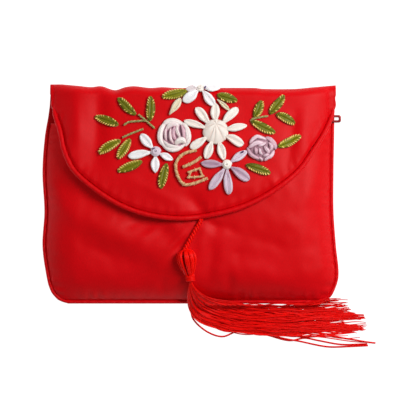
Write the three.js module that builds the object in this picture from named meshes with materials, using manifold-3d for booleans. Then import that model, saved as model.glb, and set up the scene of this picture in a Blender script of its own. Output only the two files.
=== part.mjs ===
// An embroidered satin purse with a flap and a tassel, lying on its back.
// Millimetres. +X is the purse's right, +Y runs towards the fold, +Z comes up out of the front.
// The origin is the middle of the back panel's underside.
import * as THREE from "three";
import { mergeVertices } from "three/addons/utils/BufferGeometryUtils.js";
import Module from "manifold-3d";

const wasm = await Module();
wasm.setup();

// Driving dimensions
const HALF_WIDTH = 60; // half of the pouch at its widest
const HEIGHT = 88.8; // from the fold to the bottom seam
const CLOTH = 1.4; // satin, wadding and lining together
const GAP = 0.3; // between pieces that touch
const SEAM_WIDTH = 1.4; // flat rim outside the seam line
const PUFF = 10; // rise of the front panel over its rim
const ROLL = 14; // how far in from the seam the front panel has risen most of that
const MOUTH_DEPTH = 15.8; // from the fold down to the pocket's mouth
const AIR = 1; // between the front panel and the flap over it
const FLAP_LENGTH = 55.2; // from the fold to the flap's tip
const FLAP_INSET = 2.2; // how far in from the pouch's widest the flap's sides start
const FOLD_ROUND = 4; // depth of the rounded fold
const FOLD_SAG = 1.6; // how far the middle of the fold sits below its corners
const PIPE_RADIUS = 1; // corded edge of the flap
const PIPE_INSET = 0.5; // how far in from the straight sides its ends lie
const PETAL_WIDTH = 3.7;
const PETAL_RELIEF = 1.3;
const LEAF_LENGTH = 10.2;
const LEAF_WIDTH = 3.6;
const LEAF_RELIEF = 1;
const STEM_RADIUS = 0.45;
const GOLD_RADIUS = 0.65; // couched gold thread
const ROSE_RADIUS = 6.7;
const ROSE_RELIEF = 2.3;
const DAISY_RADIUS = 12.4; // middle to the tip of an average petal
const CORD_RADIUS = 1;
const HEAD_LENGTH = 12.4; // looped head of the tassel
const HEAD_WIDTH = 7.6;
const HEAD_THICKNESS = 5;
const HEAD_OVERLAP = 0.2; // how far the head runs on into the skirt, as a share of its length
const SKIRT_REACH = 75; // how far the skirt sweeps to the right of its neck
const SKIRT_DROP = 24; // and how far below its neck
const LOCK_WIDTH = 3.4;
const LOCK_THICKNESS = 2;
const LOCK_COUNT = 10;
const PULL_WIDTH = 3.1;
const PULL_LENGTH = 11.5;
const PULL_THICKNESS = 1.2;
const PULL_PROUD = 2.7; // shows past the side of the purse
const SLIDER_LENGTH = 8;
const SLIDER_WIDTH = 3.9;
const SLIDER_HEIGHT = 3;
const TAPE_HEIGHT = 1;
const SLOPE_STEP = 0.5; // how far each side of a point the flap's slope is read

// Shares that shape the puffed front
const DOME_SHARE = 0.3; // part of the rise that goes on to the middle of the panel
const MOUTH_DIP = 0.42; // loss of rise from the middle of the pouch up to the fold
const ROLL_EDGE = 2.2; // how steeply it leaves the seam
const ROLL_CROWN = 0.75; // how soon it flattens after that

// Shares that shape the tassel
const NECK_SHARE = 0.62; // head's width at the neck
const CROWN_SHARE = 1.15; // and towards its top
const LOCK_START = 0.75; // a lock's width at the neck
const LOCK_TAPER = 0.4; // loss of its width and thickness towards the tip
const LOCK_LAYER = 0.55; // rise of every other lock over its neighbours
const LOCK_RAGGED = 0.1; // how much the locks' lengths differ

// How strongly the lines of a wall crowd at its seams and at its round corners
const SEAM_CROWD = 1.6;
const CORNER_CROWD = 3;

// The pouch outline. up is a share of HEIGHT from the bottom, left and right of HALF_WIDTH.
const POUCH_OUTLINE = [
  { up: 0, left: 0.865, right: 0.859 },
  { up: 0.02, left: 0.905, right: 0.92 },
  { up: 0.06, left: 0.946, right: 0.972 },
  { up: 0.13, left: 0.974, right: 1 },
  { up: 0.265, left: 1, right: 0.982 },
  { up: 0.42, left: 0.987, right: 0.966 },
  { up: 0.6, left: 1, right: 0.966 },
  { up: 0.76, left: 0.984, right: 0.97 },
  { up: 0.89, left: 0.953, right: 0.973 },
  { up: 1, left: 0.946, right: 0.98 },
];

// The flap's outer edge. down is a share of FLAP_LENGTH from the fold, left and right of FLAP_HALF.
const FLAP_EDGE = [
  { down: 0.1, left: 0.972, right: 1.012 },
  { down: 0.203, left: 0.969, right: 1.012 },
  { down: 0.349, left: 0.927, right: 0.958 },
  { down: 0.495, left: 0.895, right: 0.871 },
  { down: 0.642, left: 0.825, right: 0.769 },
  { down: 0.788, left: 0.668, right: 0.598 },
  { down: 0.905, left: 0.486, right: 0.388 },
  { down: 0.972, left: 0.3, right: 0.16 },
];
const FLAP_TIP = -0.07; // the tip's place, as a share of FLAP_HALF

// Soft folds. Ends are shares of HALF_WIDTH and of half of HEIGHT. wide is a share of HALF_WIDTH and
// rise of PUFF, with a valley below nought.
const FOLDS = [
  { from: [-0.6, 0.98], to: [-0.64, 0.3], wide: 0.07, rise: -0.09 },
  { from: [-0.78, 0.98], to: [-0.8, 0.35], wide: 0.06, rise: 0.05 },
  { from: [0.78, 0.55], to: [0.72, 0.1], wide: 0.06, rise: -0.06 },
  { from: [-0.88, -0.05], to: [-0.1, -0.6], wide: 0.1, rise: 0.09 },
  { from: [-0.7, -0.35], to: [-0.15, -0.8], wide: 0.1, rise: -0.08 },
  { from: [0.17, -0.3], to: [0.2, -0.95], wide: 0.05, rise: -0.1 },
  { from: [0.32, -0.55], to: [0.34, -0.95], wide: 0.04, rise: -0.08 },
  { from: [0.03, -0.05], to: [0.06, -0.18], wide: 0.07, rise: -0.1 },
];
const FOLD_DENT = { at: -0.51, wide: 0.07, deep: 0.6 }; // a pinch in the fold, deep as a share of FOLD_SAG

// Embroidery. x is a share of FLAP_HALF, down of FLAP_LENGTH, turn is in degrees towards the tip.
const LEAVES = [
  { x: -0.442, down: 0.166, turn: 137, long: 0.97 },
  { x: -0.28, down: 0.184, turn: 88, long: 0.98 },
  { x: -0.584, down: 0.272, turn: 161, long: 1.0 },
  { x: -0.56, down: 0.463, turn: 212, long: 0.99 },
  { x: -0.46, down: 0.477, turn: 239, long: 0.91 },
  { x: -0.42, down: 0.605, turn: 203, long: 1.03 },
  { x: -0.185, down: 0.675, turn: 257, long: 1.01 },
  { x: -0.11, down: 0.078, turn: 194, long: 1.01 },
  { x: 0.256, down: 0.104, turn: -16, long: 0.82 },
  { x: 0.47, down: 0.188, turn: 67, long: 0.75 },
  { x: 0.602, down: 0.155, turn: 52, long: 0.93 },
  { x: 0.662, down: 0.256, turn: -26, long: 0.83 },
  { x: 0.504, down: 0.316, turn: -26, long: 1.07 },
  { x: 0.688, down: 0.422, turn: 25, long: 1.02 },
  { x: 0.47, down: 0.625, turn: -19, long: 1.02 },
];
const BUDS = [
  { x: -0.106, down: 0.17, turn: 53, long: 0.76, wide: 0.75 },
  { x: 0.228, down: 0.154, turn: -41, long: 0.62, wide: 0.4 },
];
// Petal turn in degrees, tip as a share of DAISY_RADIUS, wide of PETAL_WIDTH.
const DAISY_CREAM = {
  x: 0.175,
  down: 0.353,
  knot: 0.4,
  petals: [
    { turn: 92, tip: 0.93, wide: 1.1 },
    { turn: 49, tip: 1.06, wide: 1 },
    { turn: 12, tip: 1.03, wide: 0.9 },
    { turn: -24, tip: 0.98, wide: 1.1 },
    { turn: -73, tip: 0.94, wide: 1 },
    { turn: -110, tip: 0.92, wide: 1.02 },
    { turn: -147, tip: 0.97, wide: 0.95 },
    { turn: 160, tip: 1.08, wide: 0.82 },
    { turn: 128, tip: 1.01, wide: 1.05 },
  ],
};
const DAISY_LILAC = {
  x: 0.254,
  down: 0.593,
  knot: 0.16,
  petals: [
    { turn: 178, tip: 0.84, wide: 0.95 },
    { turn: -124, tip: 0.98, wide: 1 },
    { turn: -86, tip: 0.95, wide: 1 },
    { turn: -34, tip: 0.86, wide: 1.15 },
    { turn: 35, tip: 0.76, wide: 0.9 },
  ],
};
const FLOWER_WHITE = {
  x: -0.24,
  down: 0.5,
  knot: 0.17,
  petals: [
    { turn: 132, tip: 0.74, wide: 1.05 },
    { turn: 188, tip: 0.9, wide: 1 },
    { turn: -94, tip: 0.67, wide: 1 },
    { turn: -25, tip: 0.6, wide: 0.8 },
  ],
};
const FLOWER_FOLD = {
  x: 0.059,
  down: 0.04,
  knot: 0.15,
  petals: [
    { turn: 225, tip: 0.6, wide: 1 },
    { turn: -46, tip: 0.68, wide: 0.9 },
    { turn: 0, tip: 0.64, wide: 0.9 },
    { turn: 62, tip: 0.5, wide: 1 },
    { turn: 118, tip: 0.5, wide: 1 },
    { turn: 160, tip: 0.33, wide: 0.8 },
  ],
};
const ROSES = [
  { name: "rosette_cream", x: -0.114, down: 0.38, size: 1, lobes: 5 },
  { name: "rosette_lilac", x: 0.495, down: 0.474, size: 0.85, lobes: 6 },
];
// Stems and gold thread: points as [share of FLAP_HALF, share of FLAP_LENGTH].
const STEMS = [
  {
    name: "stem_upper",
    runs: [
      [[-0.36, 0.227], [-0.311, 0.27], [-0.248, 0.328]],
      [[-0.462, 0.305], [-0.434, 0.284], [-0.38, 0.276], [-0.311, 0.272]],
    ],
  },
  { name: "stem_lower", runs: [[[-0.472, 0.395], [-0.4, 0.362], [-0.328, 0.333]]] },
  { name: "stem_right", runs: [[[0.42, 0.275], [0.43, 0.262], [0.485, 0.247], [0.54, 0.238]]] },
];
const GOLD = [
  {
    name: "basket",
    runs: [
      [[0.041, 0.49], [-0.03, 0.508], [-0.071, 0.536], [-0.1, 0.585], [-0.09, 0.67],
        [-0.045, 0.734], [0.02, 0.728], [0.117, 0.69]],
      [[0.09, 0.695], [0.085, 0.65], [0.06, 0.612], [0.005, 0.63], [-0.02, 0.672], [-0.025, 0.73]],
      [[-0.022, 0.672], [0.03, 0.68], [0.088, 0.672]],
      [[0.02, 0.62], [0.022, 0.68]],
    ],
  },
  { name: "basket_bar", runs: [[[-0.052, 0.61], [0.0, 0.588], [0.04, 0.565], [0.072, 0.538]]] },
];

// The sweep of the skirt between its inner and its outer side, from the neck on. across is a share
// of SKIRT_REACH and down of SKIRT_DROP.
const SWEEP = [
  { inner: [0, 0], outer: [0, 0] },
  { inner: [0.025, 0.14], outer: [-0.015, 0.24] },
  { inner: [0.09, 0.29], outer: [-0.008, 0.5] },
  { inner: [0.19, 0.37], outer: [0.035, 0.7] },
  { inner: [0.32, 0.41], outer: [0.2, 0.89] },
  { inner: [0.53, 0.41], outer: [0.48, 0.96] },
  { inner: [0.73, 0.4], outer: [0.72, 0.98] },
  { inner: [0.86, 0.41], outer: [0.96, 1] },
];
const CORD_AT = 0.066; // where the cord leaves the flap's edge, as a share of FLAP_HALF
const NECK = [0.0, -0.775]; // the tassel's neck, as shares of HALF_WIDTH and of half of HEIGHT
const HEAD_TURN = 100; // degrees, the way from the neck to the head's top

// Colours
const SATIN = { color: 0xcc0a18, roughness: 0.35, metalness: 0 };
const RAYON = { color: 0xd81208, roughness: 0.5, metalness: 0 };
const LEAF_GREEN = { color: 0x7d8a20, roughness: 0.5, metalness: 0 };
const RIBBON_CREAM = { color: 0xefe6d6, roughness: 0.4, metalness: 0 };
const RIBBON_WHITE = { color: 0xf6f2f2, roughness: 0.4, metalness: 0 };
const RIBBON_LILAC = { color: 0xc0a0c0, roughness: 0.4, metalness: 0 };
const GOLD_THREAD = { color: 0xcda573, roughness: 0.45, metalness: 0.3 };
const LACQUER = { color: 0x8c1414, roughness: 0.3, metalness: 0.2 };

const BOTTOM = -HEIGHT / 2;
const TOP = HEIGHT / 2;
const MOUTH = TOP - MOUTH_DEPTH;
const FLAP_HALF = HALF_WIDTH - FLAP_INSET;
const RIM_TOP = 2 * CLOTH + GAP; // top of the front panel's flat rim, over the back panel

const clamp = THREE.MathUtils.clamp;
const lerp = THREE.MathUtils.lerp;

// A column of a table between its rows, on a smooth curve through them.
function readTable(rows, key, column, at) {
  let k = rows.findIndex((row) => row[key] > at) - 1;
  if (k < 0) k = at <= rows[0][key] ? 0 : rows.length - 2;
  const slope = (i) => {
    const a = rows[Math.max(i - 1, 0)];
    const b = rows[Math.min(i + 1, rows.length - 1)];
    return (b[column] - a[column]) / (b[key] - a[key]);
  };
  const a = rows[k];
  const b = rows[k + 1];
  const span = b[key] - a[key];
  const t = clamp((at - a[key]) / span, 0, 1);
  const bend = t * t * (3 - 2 * t);
  const ease = t * (1 - t) * span;
  return lerp(a[column], b[column], bend) + ease * ((1 - t) * slope(k) - t * slope(k + 1));
}

function pouchSide(y, side) {
  return HALF_WIDTH * readTable(POUCH_OUTLINE, "up", side, (y - BOTTOM) / HEIGHT);
}

// The fold seen from the front: lowest in its middle, with one pinch.
function foldLine(x) {
  const across = clamp(Math.abs(x) / HALF_WIDTH, 0, 1);
  const dent = Math.exp(-(((x / HALF_WIDTH - FOLD_DENT.at) / FOLD_DENT.wide) ** 2));
  return TOP - FOLD_SAG * (Math.sqrt(1 - across * across) + FOLD_DENT.deep * dent);
}

// How much of the rise is there at a distance in from a seam.
function rolled(inwards, reach) {
  const t = clamp(inwards / reach, 0, 1);
  return (1 - (1 - t) ** ROLL_EDGE) ** ROLL_CROWN;
}

function rise(inwards, half) {
  return (1 - DOME_SHARE) * rolled(inwards, ROLL) + DOME_SHARE * rolled(inwards, half);
}

// Height of the soft folds at a point, as a share of the puff.
function folds(x, y) {
  let sum = 0;
  for (const { from, to, wide, rise: high } of FOLDS) {
    const ax = from[0] * HALF_WIDTH;
    const ay = from[1] * TOP;
    const bx = to[0] * HALF_WIDTH - ax;
    const by = to[1] * TOP - ay;
    const t = ((x - ax) * bx + (y - ay) * by) / (bx * bx + by * by);
    const on = clamp(t, 0, 1);
    const off = Math.hypot(x - ax - on * bx, y - ay - on * by) / (wide * HALF_WIDTH);
    sum += high * Math.exp(-off * off);
  }
  return sum;
}

// The outer face of the front panel. It goes on past the mouth as the form that the flap follows.
function pouchTop(x, y) {
  const side = x < 0 ? x + pouchSide(y, "left") : pouchSide(y, "right") - x;
  const inSide = Math.max(side - SEAM_WIDTH, 0);
  const inBottom = Math.max(y - BOTTOM - SEAM_WIDTH, 0);
  const dip = 1 - MOUTH_DIP * THREE.MathUtils.smoothstep(y, 0, TOP);
  const full = rise(inSide, HALF_WIDTH) * rise(inBottom, TOP);
  return RIM_TOP + PUFF * full * (dip + folds(x, y));
}

function flapTop(x, y) {
  return pouchTop(x, y) + AIR + CLOTH;
}

function turnStart(x) {
  return foldLine(x) - FOLD_ROUND;
}

// A point on the rounded fold: angle 0 is the front, 180 degrees is the back.
function onTurn(x, angle) {
  const y = turnStart(x);
  const half = flapTop(x, y) / 2;
  return new THREE.Vector3(x, y + FOLD_ROUND * Math.sin(angle), half + half * Math.cos(angle));
}

// A point over the flap at a height square to it. What lies past the fold line goes round it.
function overFlap(x, y, height) {
  const start = turnStart(x);
  if (y > start) {
    const angle = (y - start) / FOLD_ROUND;
    const at = onTurn(x, angle);
    return at.add(new THREE.Vector3(0, Math.sin(angle), Math.cos(angle)).multiplyScalar(height));
  }
  const step = SLOPE_STEP;
  const dx = (flapTop(x + step, y) - flapTop(x - step, y)) / (2 * step);
  const dy = (flapTop(x, y + step) - flapTop(x, y - step)) / (2 * step);
  const normal = new THREE.Vector3(-dx, -dy, 1).normalize();
  return new THREE.Vector3(x, y, flapTop(x, y)).addScaledVector(normal, height);
}

const flapX = (share) => share * FLAP_HALF;
const flapY = (share) => TOP - share * FLAP_LENGTH;

// Solids and joins
function geometryOf(points, triangles) {
  const geometry = new THREE.BufferGeometry();
  geometry.setAttribute("position", new THREE.Float32BufferAttribute(points.flatMap((p) => p.toArray()), 3));
  geometry.setIndex(triangles);
  return geometry;
}

// A wall of cloth from a grid of points on its outer face. rows[j][i] runs so that i cross j points out.
function clothWall(rows, thickness, lowest) {
  const high = rows.length;
  const wide = rows[0].length;
  const outer = (i, j) => j * wide + i;
  const inner = (i, j) => high * wide + outer(i, j);
  const normalAt = (i, j) => {
    const across = rows[j][Math.min(i + 1, wide - 1)].clone().sub(rows[j][Math.max(i - 1, 0)]);
    const along = rows[Math.min(j + 1, high - 1)][i].clone().sub(rows[Math.max(j - 1, 0)][i]);
    return across.cross(along).normalize();
  };
  const inside = rows.flatMap((row, j) =>
    row.map((point, i) => {
      const at = point.clone().addScaledVector(normalAt(i, j), -thickness);
      at.z = Math.max(at.z, lowest);
      return at;
    }),
  );
  const triangles = [];
  const quad = (a, b, c, d) => triangles.push(a, b, c, a, c, d);
  for (let j = 0; j + 1 < high; j++)
    for (let i = 0; i + 1 < wide; i++) {
      quad(outer(i, j), outer(i + 1, j), outer(i + 1, j + 1), outer(i, j + 1));
      quad(inner(i, j), inner(i, j + 1), inner(i + 1, j + 1), inner(i + 1, j));
    }
  for (let i = 0; i + 1 < wide; i++) {
    quad(outer(i + 1, 0), outer(i, 0), inner(i, 0), inner(i + 1, 0));
    quad(outer(i, high - 1), outer(i + 1, high - 1), inner(i + 1, high - 1), inner(i, high - 1));
  }
  for (let j = 0; j + 1 < high; j++) {
    quad(outer(0, j), outer(0, j + 1), inner(0, j + 1), inner(0, j));
    quad(outer(wide - 1, j + 1), outer(wide - 1, j), inner(wide - 1, j), inner(wide - 1, j + 1));
  }
  return geometryOf([...rows.flat(), ...inside], triangles);
}

function positionsOnly(geometry) {
  const copy = geometry.clone();
  copy.deleteAttribute("normal");
  copy.deleteAttribute("uv");
  return mergeVertices(copy, 1e-4);
}

function solidOf(geometry) {
  const merged = positionsOnly(geometry);
  return new wasm.Manifold(
    new wasm.Mesh({
      numProp: 3,
      vertProperties: merged.attributes.position.array,
      triVerts: new Uint32Array(merged.index.array),
    }),
  );
}

function geometryFrom(solid) {
  const mesh = solid.getMesh();
  const points = [];
  for (let i = 0; i < mesh.vertProperties.length; i += mesh.numProp)
    points.push(new THREE.Vector3().fromArray(mesh.vertProperties, i));
  return geometryOf(points, [...mesh.triVerts]);
}

function joined(geometries) {
  return geometryFrom(geometries.map(solidOf).reduce((whole, next) => whole.add(next)));
}

function tube(points, radius, sides, steps) {
  const ring = new THREE.Shape();
  for (let k = 0; k < sides; k++) {
    const angle = (2 * Math.PI * k) / sides;
    const [x, y] = [radius * Math.cos(angle), radius * Math.sin(angle)];
    if (k === 0) ring.moveTo(x, y);
    else ring.lineTo(x, y);
  }
  ring.closePath();
  const extrudePath = new THREE.CatmullRomCurve3(points);
  return new THREE.ExtrudeGeometry(ring, { steps, extrudePath, bevelEnabled: false });
}

// The two cloth walls

// Places across a panel from its left edge to its right one, crowded at the two seams.
function acrossPanel(y, count) {
  const left = pouchSide(y, "left");
  const right = pouchSide(y, "right");
  const half = (left + right) / 2;
  const places = [];
  for (let c = 0; c <= 2 * count; c++) {
    const k = Math.min(c, 2 * count - c);
    const inwards = k === 0 ? 0 : SEAM_WIDTH + (half - SEAM_WIDTH) * ((k - 1) / (count - 1)) ** SEAM_CROWD;
    places.push(c <= count ? inwards - left : right - inwards);
  }
  return places;
}

function frontPanel() {
  const upSteps = 15;
  const acrossSteps = 10;
  const rows = [];
  for (let j = 0; j <= upSteps; j++) {
    const share = ((j - 1) / (upSteps - 1)) ** SEAM_CROWD;
    const y = j === 0 ? BOTTOM : lerp(BOTTOM + SEAM_WIDTH, MOUTH, share);
    rows.push(acrossPanel(y, acrossSteps).map((x) => new THREE.Vector3(x, y, pouchTop(x, y))));
  }
  return clothWall(rows, CLOTH, CLOTH + GAP);
}

// The flap's outer edge from its left end through its tip to its right end.
const flapEdge = new THREE.CatmullRomCurve3([
  ...FLAP_EDGE.map((row) => new THREE.Vector3(flapX(-row.left), flapY(row.down), 0)),
  new THREE.Vector3(flapX(FLAP_TIP), flapY(1), 0),
  ...FLAP_EDGE.map((row) => new THREE.Vector3(flapX(row.right), flapY(row.down), 0)).reverse(),
]);

// A point of that edge, moved into the flap.
function edgePoint(along, inset) {
  const at = flapEdge.getPointAt(along);
  const ahead = flapEdge.getTangentAt(along);
  return at.add(new THREE.Vector3(-ahead.y, ahead.x, 0).multiplyScalar(inset));
}

function backAndFlap() {
  const columns = 24;
  const backSteps = 6;
  const turnSteps = 6;
  const flapSteps = 11;
  const rows = [];
  const across = (row) => Array.from({ length: columns + 1 }, (_, i) => row(1 - i / columns));
  const foldX = (share) => lerp(-pouchSide(TOP, "left"), pouchSide(TOP, "right"), share);
  for (let j = 0; j < backSteps; j++) {
    const up = (j / backSteps) ** CORNER_CROWD;
    rows.push(
      across((share) => {
        const y = lerp(BOTTOM, turnStart(foldX(share)), up);
        const x = lerp(-pouchSide(y, "left"), pouchSide(y, "right"), share);
        return new THREE.Vector3(x, y, 0);
      }),
    );
  }
  for (let j = 0; j <= turnSteps; j++)
    rows.push(across((share) => onTurn(foldX(share), Math.PI * (1 - j / turnSteps))));
  for (let j = 1; j <= flapSteps; j++)
    rows.push(
      across((share) => {
        const edge = edgePoint(share, 2 * PIPE_RADIUS + GAP);
        const start = new THREE.Vector3(foldX(share), turnStart(foldX(share)), 0);
        const at = start.lerp(edge, j / flapSteps);
        at.z = flapTop(at.x, at.y);
        return at;
      }),
    );
  return clothWall(rows, CLOTH, -Infinity);
}

function flapPiping() {
  const stations = 40;
  const start = PIPE_INSET / flapEdge.getLength();
  const points = [];
  for (let k = 0; k <= stations; k++) {
    const at = edgePoint(lerp(start, 1 - start, k / stations), PIPE_RADIUS);
    at.z = pouchTop(at.x, at.y) + AIR + PIPE_RADIUS;
    points.push(at);
  }
  return tube(points, PIPE_RADIUS, 8, stations);
}

// Embroidery

// A puffed stitch on the flap: a ball drawn out along its length, flat below, narrower at its foot
// where foot is under 1 and at its tip where point is under 1.
function stitch({ x, y, turn, length, width, relief, foot, point }) {
  const ball = new THREE.SphereGeometry(1, 8, 4);
  const position = ball.attributes.position;
  const angle = THREE.MathUtils.degToRad(turn);
  const spot = new THREE.Vector3();
  for (let i = 0; i < position.count; i++) {
    spot.fromBufferAttribute(position, i);
    const along = (spot.y * length) / 2;
    const taper = lerp(foot, point, (spot.y + 1) / 2);
    const across = (spot.x * width * taper) / 2;
    const height = GAP + relief * Math.max(spot.z, 0);
    const px = x + along * Math.cos(angle) + across * Math.sin(angle);
    const py = y + along * Math.sin(angle) - across * Math.cos(angle);
    position.setXYZ(i, ...overFlap(px, py, height).toArray());
  }
  return positionsOnly(ball);
}

function knot(x, y, radius, relief) {
  return stitch({ x, y, turn: 90, length: 2 * radius, width: 2 * radius, relief, foot: 1, point: 1 });
}

function leaf({ x, down, turn, long }) {
  return stitch({
    x: flapX(x),
    y: flapY(down),
    turn,
    length: LEAF_LENGTH * long,
    width: LEAF_WIDTH,
    relief: LEAF_RELIEF,
    foot: 1.1,
    point: 0.85,
  });
}

function bud({ x, down, turn, long, wide }) {
  return stitch({
    x: flapX(x),
    y: flapY(down),
    turn,
    length: LEAF_LENGTH * long,
    width: PETAL_WIDTH * wide,
    relief: PETAL_RELIEF,
    foot: 0.9,
    point: 1.1,
  });
}

// A flower: a knot with its petals set round it, each running under the knot.
function flower({ x, down, knot: share, petals }) {
  const [cx, cy] = [flapX(x), flapY(down)];
  const inner = share * DAISY_RADIUS;
  const pieces = petals.map(({ turn, tip, wide }) => {
    const angle = THREE.MathUtils.degToRad(turn);
    const start = inner * 0.75;
    const end = tip * DAISY_RADIUS;
    const middle = (start + end) / 2;
    return stitch({
      x: cx + middle * Math.cos(angle),
      y: cy + middle * Math.sin(angle),
      turn,
      length: end - start,
      width: PETAL_WIDTH * wide,
      relief: PETAL_RELIEF,
      foot: 0.8,
      point: 1.2,
    });
  });
  return joined([knot(cx, cy, inner, PETAL_RELIEF * 1.35), ...pieces]);
}

// A ribbon rose: rings of petals that climb to a hollow middle.
function rose({ x, down, size, lobes }) {
  const profile = [
    { out: 1, high: 0 },
    { out: 1.02, high: 0.4 },
    { out: 0.8, high: 0.75 },
    { out: 0.66, high: 0.6 },
    { out: 0.52, high: 1 },
    { out: 0.34, high: 0.78 },
    { out: 0.2, high: 0.95 },
  ];
  const around = 3 * lobes;
  const points = [];
  const place = (out, high, k, ring) => {
    const angle = (2 * Math.PI * k) / around;
    const wave = 1 + 0.05 * Math.cos(lobes * angle + 2 * ring);
    const reach = ROSE_RADIUS * size * out * wave;
    const height = GAP + ROSE_RELIEF * size * high;
    points.push(overFlap(flapX(x) + reach * Math.cos(angle), flapY(down) + reach * Math.sin(angle), height));
  };
  profile.forEach(({ out, high }, ring) => {
    for (let k = 0; k < around; k++) place(out, high, k, ring);
  });
  const under = points.push(overFlap(flapX(x), flapY(down), GAP)) - 1;
  const crown = points.push(overFlap(flapX(x), flapY(down), GAP + ROSE_RELIEF * size * 0.8)) - 1;
  const triangles = [];
  for (let k = 0; k < around; k++) {
    const next = (k + 1) % around;
    triangles.push(under, next, k);
    for (let ring = 0; ring + 1 < profile.length; ring++) {
      const low = ring * around;
      const high = low + around;
      triangles.push(low + k, low + next, high + next, low + k, high + next, high + k);
    }
    const last = (profile.length - 1) * around;
    triangles.push(crown, last + k, last + next);
  }
  return geometryOf(points, triangles);
}

function thread(runs, radius) {
  return joined(
    runs.map((run) => {
      const points = run.map(([x, down]) => overFlap(flapX(x), flapY(down), GAP + radius));
      return tube(points, radius, 5, 2 * (run.length - 1));
    }),
  );
}

// The tassel

// What lies under a point: the front panel inside its outline, and the surface elsewhere.
function under(x, y) {
  const inside = y > BOTTOM && y < MOUTH && x > -pouchSide(y, "left") && x < pouchSide(y, "right");
  return inside ? pouchTop(x, y) : 0;
}

function restHeight(x, y, reach) {
  let highest = under(x, y);
  for (let k = 0; k < 8; k++) {
    const angle = (Math.PI * k) / 4;
    highest = Math.max(highest, under(x + reach * Math.cos(angle), y + reach * Math.sin(angle)));
  }
  return highest > 0 ? highest + GAP : 0;
}

const neck = new THREE.Vector3(NECK[0] * HALF_WIDTH, NECK[1] * TOP, 0);
const headAngle = THREE.MathUtils.degToRad(HEAD_TURN);
const headTop = neck.clone().add(
  new THREE.Vector3(Math.cos(headAngle), Math.sin(headAngle), 0).multiplyScalar(HEAD_LENGTH),
);

function tasselHead() {
  const ball = new THREE.SphereGeometry(1, 12, 8);
  const position = ball.attributes.position;
  const spot = new THREE.Vector3();
  for (let i = 0; i < position.count; i++) {
    spot.fromBufferAttribute(position, i);
    const along = (spot.y + 1) / 2;
    const full = lerp(NECK_SHARE, CROWN_SHARE, along);
    const across = (spot.x * HEAD_WIDTH * full) / 2;
    const on = lerp(-HEAD_OVERLAP, 1, along);
    const x = lerp(neck.x, headTop.x, on) + across * Math.sin(headAngle);
    const y = lerp(neck.y, headTop.y, on) - across * Math.cos(headAngle);
    const middle = lerp(LOCK_THICKNESS, HEAD_THICKNESS, along) / 2;
    const lift = Math.max(middle + (spot.z * full * HEAD_THICKNESS) / 2, 0);
    position.setXYZ(i, x, y, restHeight(x, y, CORD_RADIUS) + lift);
  }
  return positionsOnly(ball);
}

// One lock of the skirt, at a share of the way from its inner side to its outer side.
function lock(share, index) {
  const steps = 12;
  const sides = 6;
  const turn = (point) => new THREE.Vector3(point[0] * SKIRT_REACH, -point[1] * SKIRT_DROP, 0);
  const route = new THREE.CatmullRomCurve3(
    SWEEP.map((row) => turn(row.inner).lerp(turn(row.outer), share).add(neck)),
  );
  const reach = 1 - LOCK_RAGGED + LOCK_RAGGED * Math.cos(2.4 * index);
  const layer = index % 2 === 0 ? 0 : LOCK_THICKNESS * LOCK_LAYER;
  const taper = (t) => 1 - LOCK_TAPER * t * t;
  const width = (t) => LOCK_WIDTH * lerp(LOCK_START, 1, Math.min(4 * t, 1)) * taper(t);
  const thick = (t) => LOCK_THICKNESS * taper(t);
  const path = Array.from({ length: steps + 1 }, (_, k) => route.getPointAt((k / steps) * reach));
  const need = path.map((at, k) => restHeight(at.x, at.y, width(k / steps) / 2 + GAP) + thick(k / steps) / 2);
  const height = need.map((low, k) =>
    Math.max(low, (need[Math.max(k - 1, 0)] + need[Math.min(k + 1, steps)]) / 2),
  );
  const points = [];
  path.forEach((at, k) => {
    const t = k / steps;
    const ahead = route.getTangentAt(t * reach);
    for (let s = 0; s < sides; s++) {
      const angle = (2 * Math.PI * s) / sides;
      const across = (width(t) / 2) * Math.cos(angle);
      const up = (thick(t) / 2) * Math.sin(angle);
      const lift = layer * Math.min(3 * t, 1) * (1 - t);
      points.push(new THREE.Vector3(at.x - ahead.y * across, at.y + ahead.x * across, height[k] + up + lift));
    }
  });
  const triangles = [];
  for (let k = 0; k < steps; k++)
    for (let s = 0; s < sides; s++) {
      const a = k * sides + s;
      const b = k * sides + ((s + 1) % sides);
      triangles.push(a, b, b + sides, a, b + sides, a + sides);
    }
  for (let s = 1; s + 1 < sides; s++) {
    triangles.push(0, s + 1, s);
    triangles.push(steps * sides, steps * sides + s, steps * sides + s + 1);
  }
  return geometryOf(points, triangles);
}

function tassel() {
  const locks = Array.from({ length: LOCK_COUNT }, (_, k) => lock(k / (LOCK_COUNT - 1), k));
  return joined([tasselHead(), ...locks]);
}

function tasselCord() {
  // The edge runs to the right here, so each step closes in on the place where the cord leaves it.
  let along = 0.5;
  for (let k = 0; k < 30; k++)
    along += (flapX(CORD_AT) - flapEdge.getPointAt(along).x) / flapEdge.getLength();
  const start = edgePoint(along, -GAP - CORD_RADIUS);
  const end = headTop.clone().addScaledVector(start.clone().sub(headTop).normalize(), GAP);
  const points = [0, 0.3, 0.65, 1].map((t) => {
    const at = start.clone().lerp(end, t);
    at.z = restHeight(at.x, at.y, CORD_RADIUS) + CORD_RADIUS;
    return at;
  });
  return tube(points, CORD_RADIUS, 8, 8);
}

// The zip's end, inside the mouth on the back panel

const pullEnd = pouchSide(MOUTH, "right") + PULL_PROUD;
const pullStart = pullEnd - PULL_LENGTH;
const zipY = MOUTH + GAP + PULL_WIDTH / 2;
const zipFloor = CLOTH + GAP;

function plate(x0, x1, y0, y1, z0, z1) {
  const box = new THREE.BoxGeometry(x1 - x0, y1 - y0, z1 - z0);
  return box.translate((x0 + x1) / 2, (y0 + y1) / 2, (z0 + z1) / 2);
}

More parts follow.
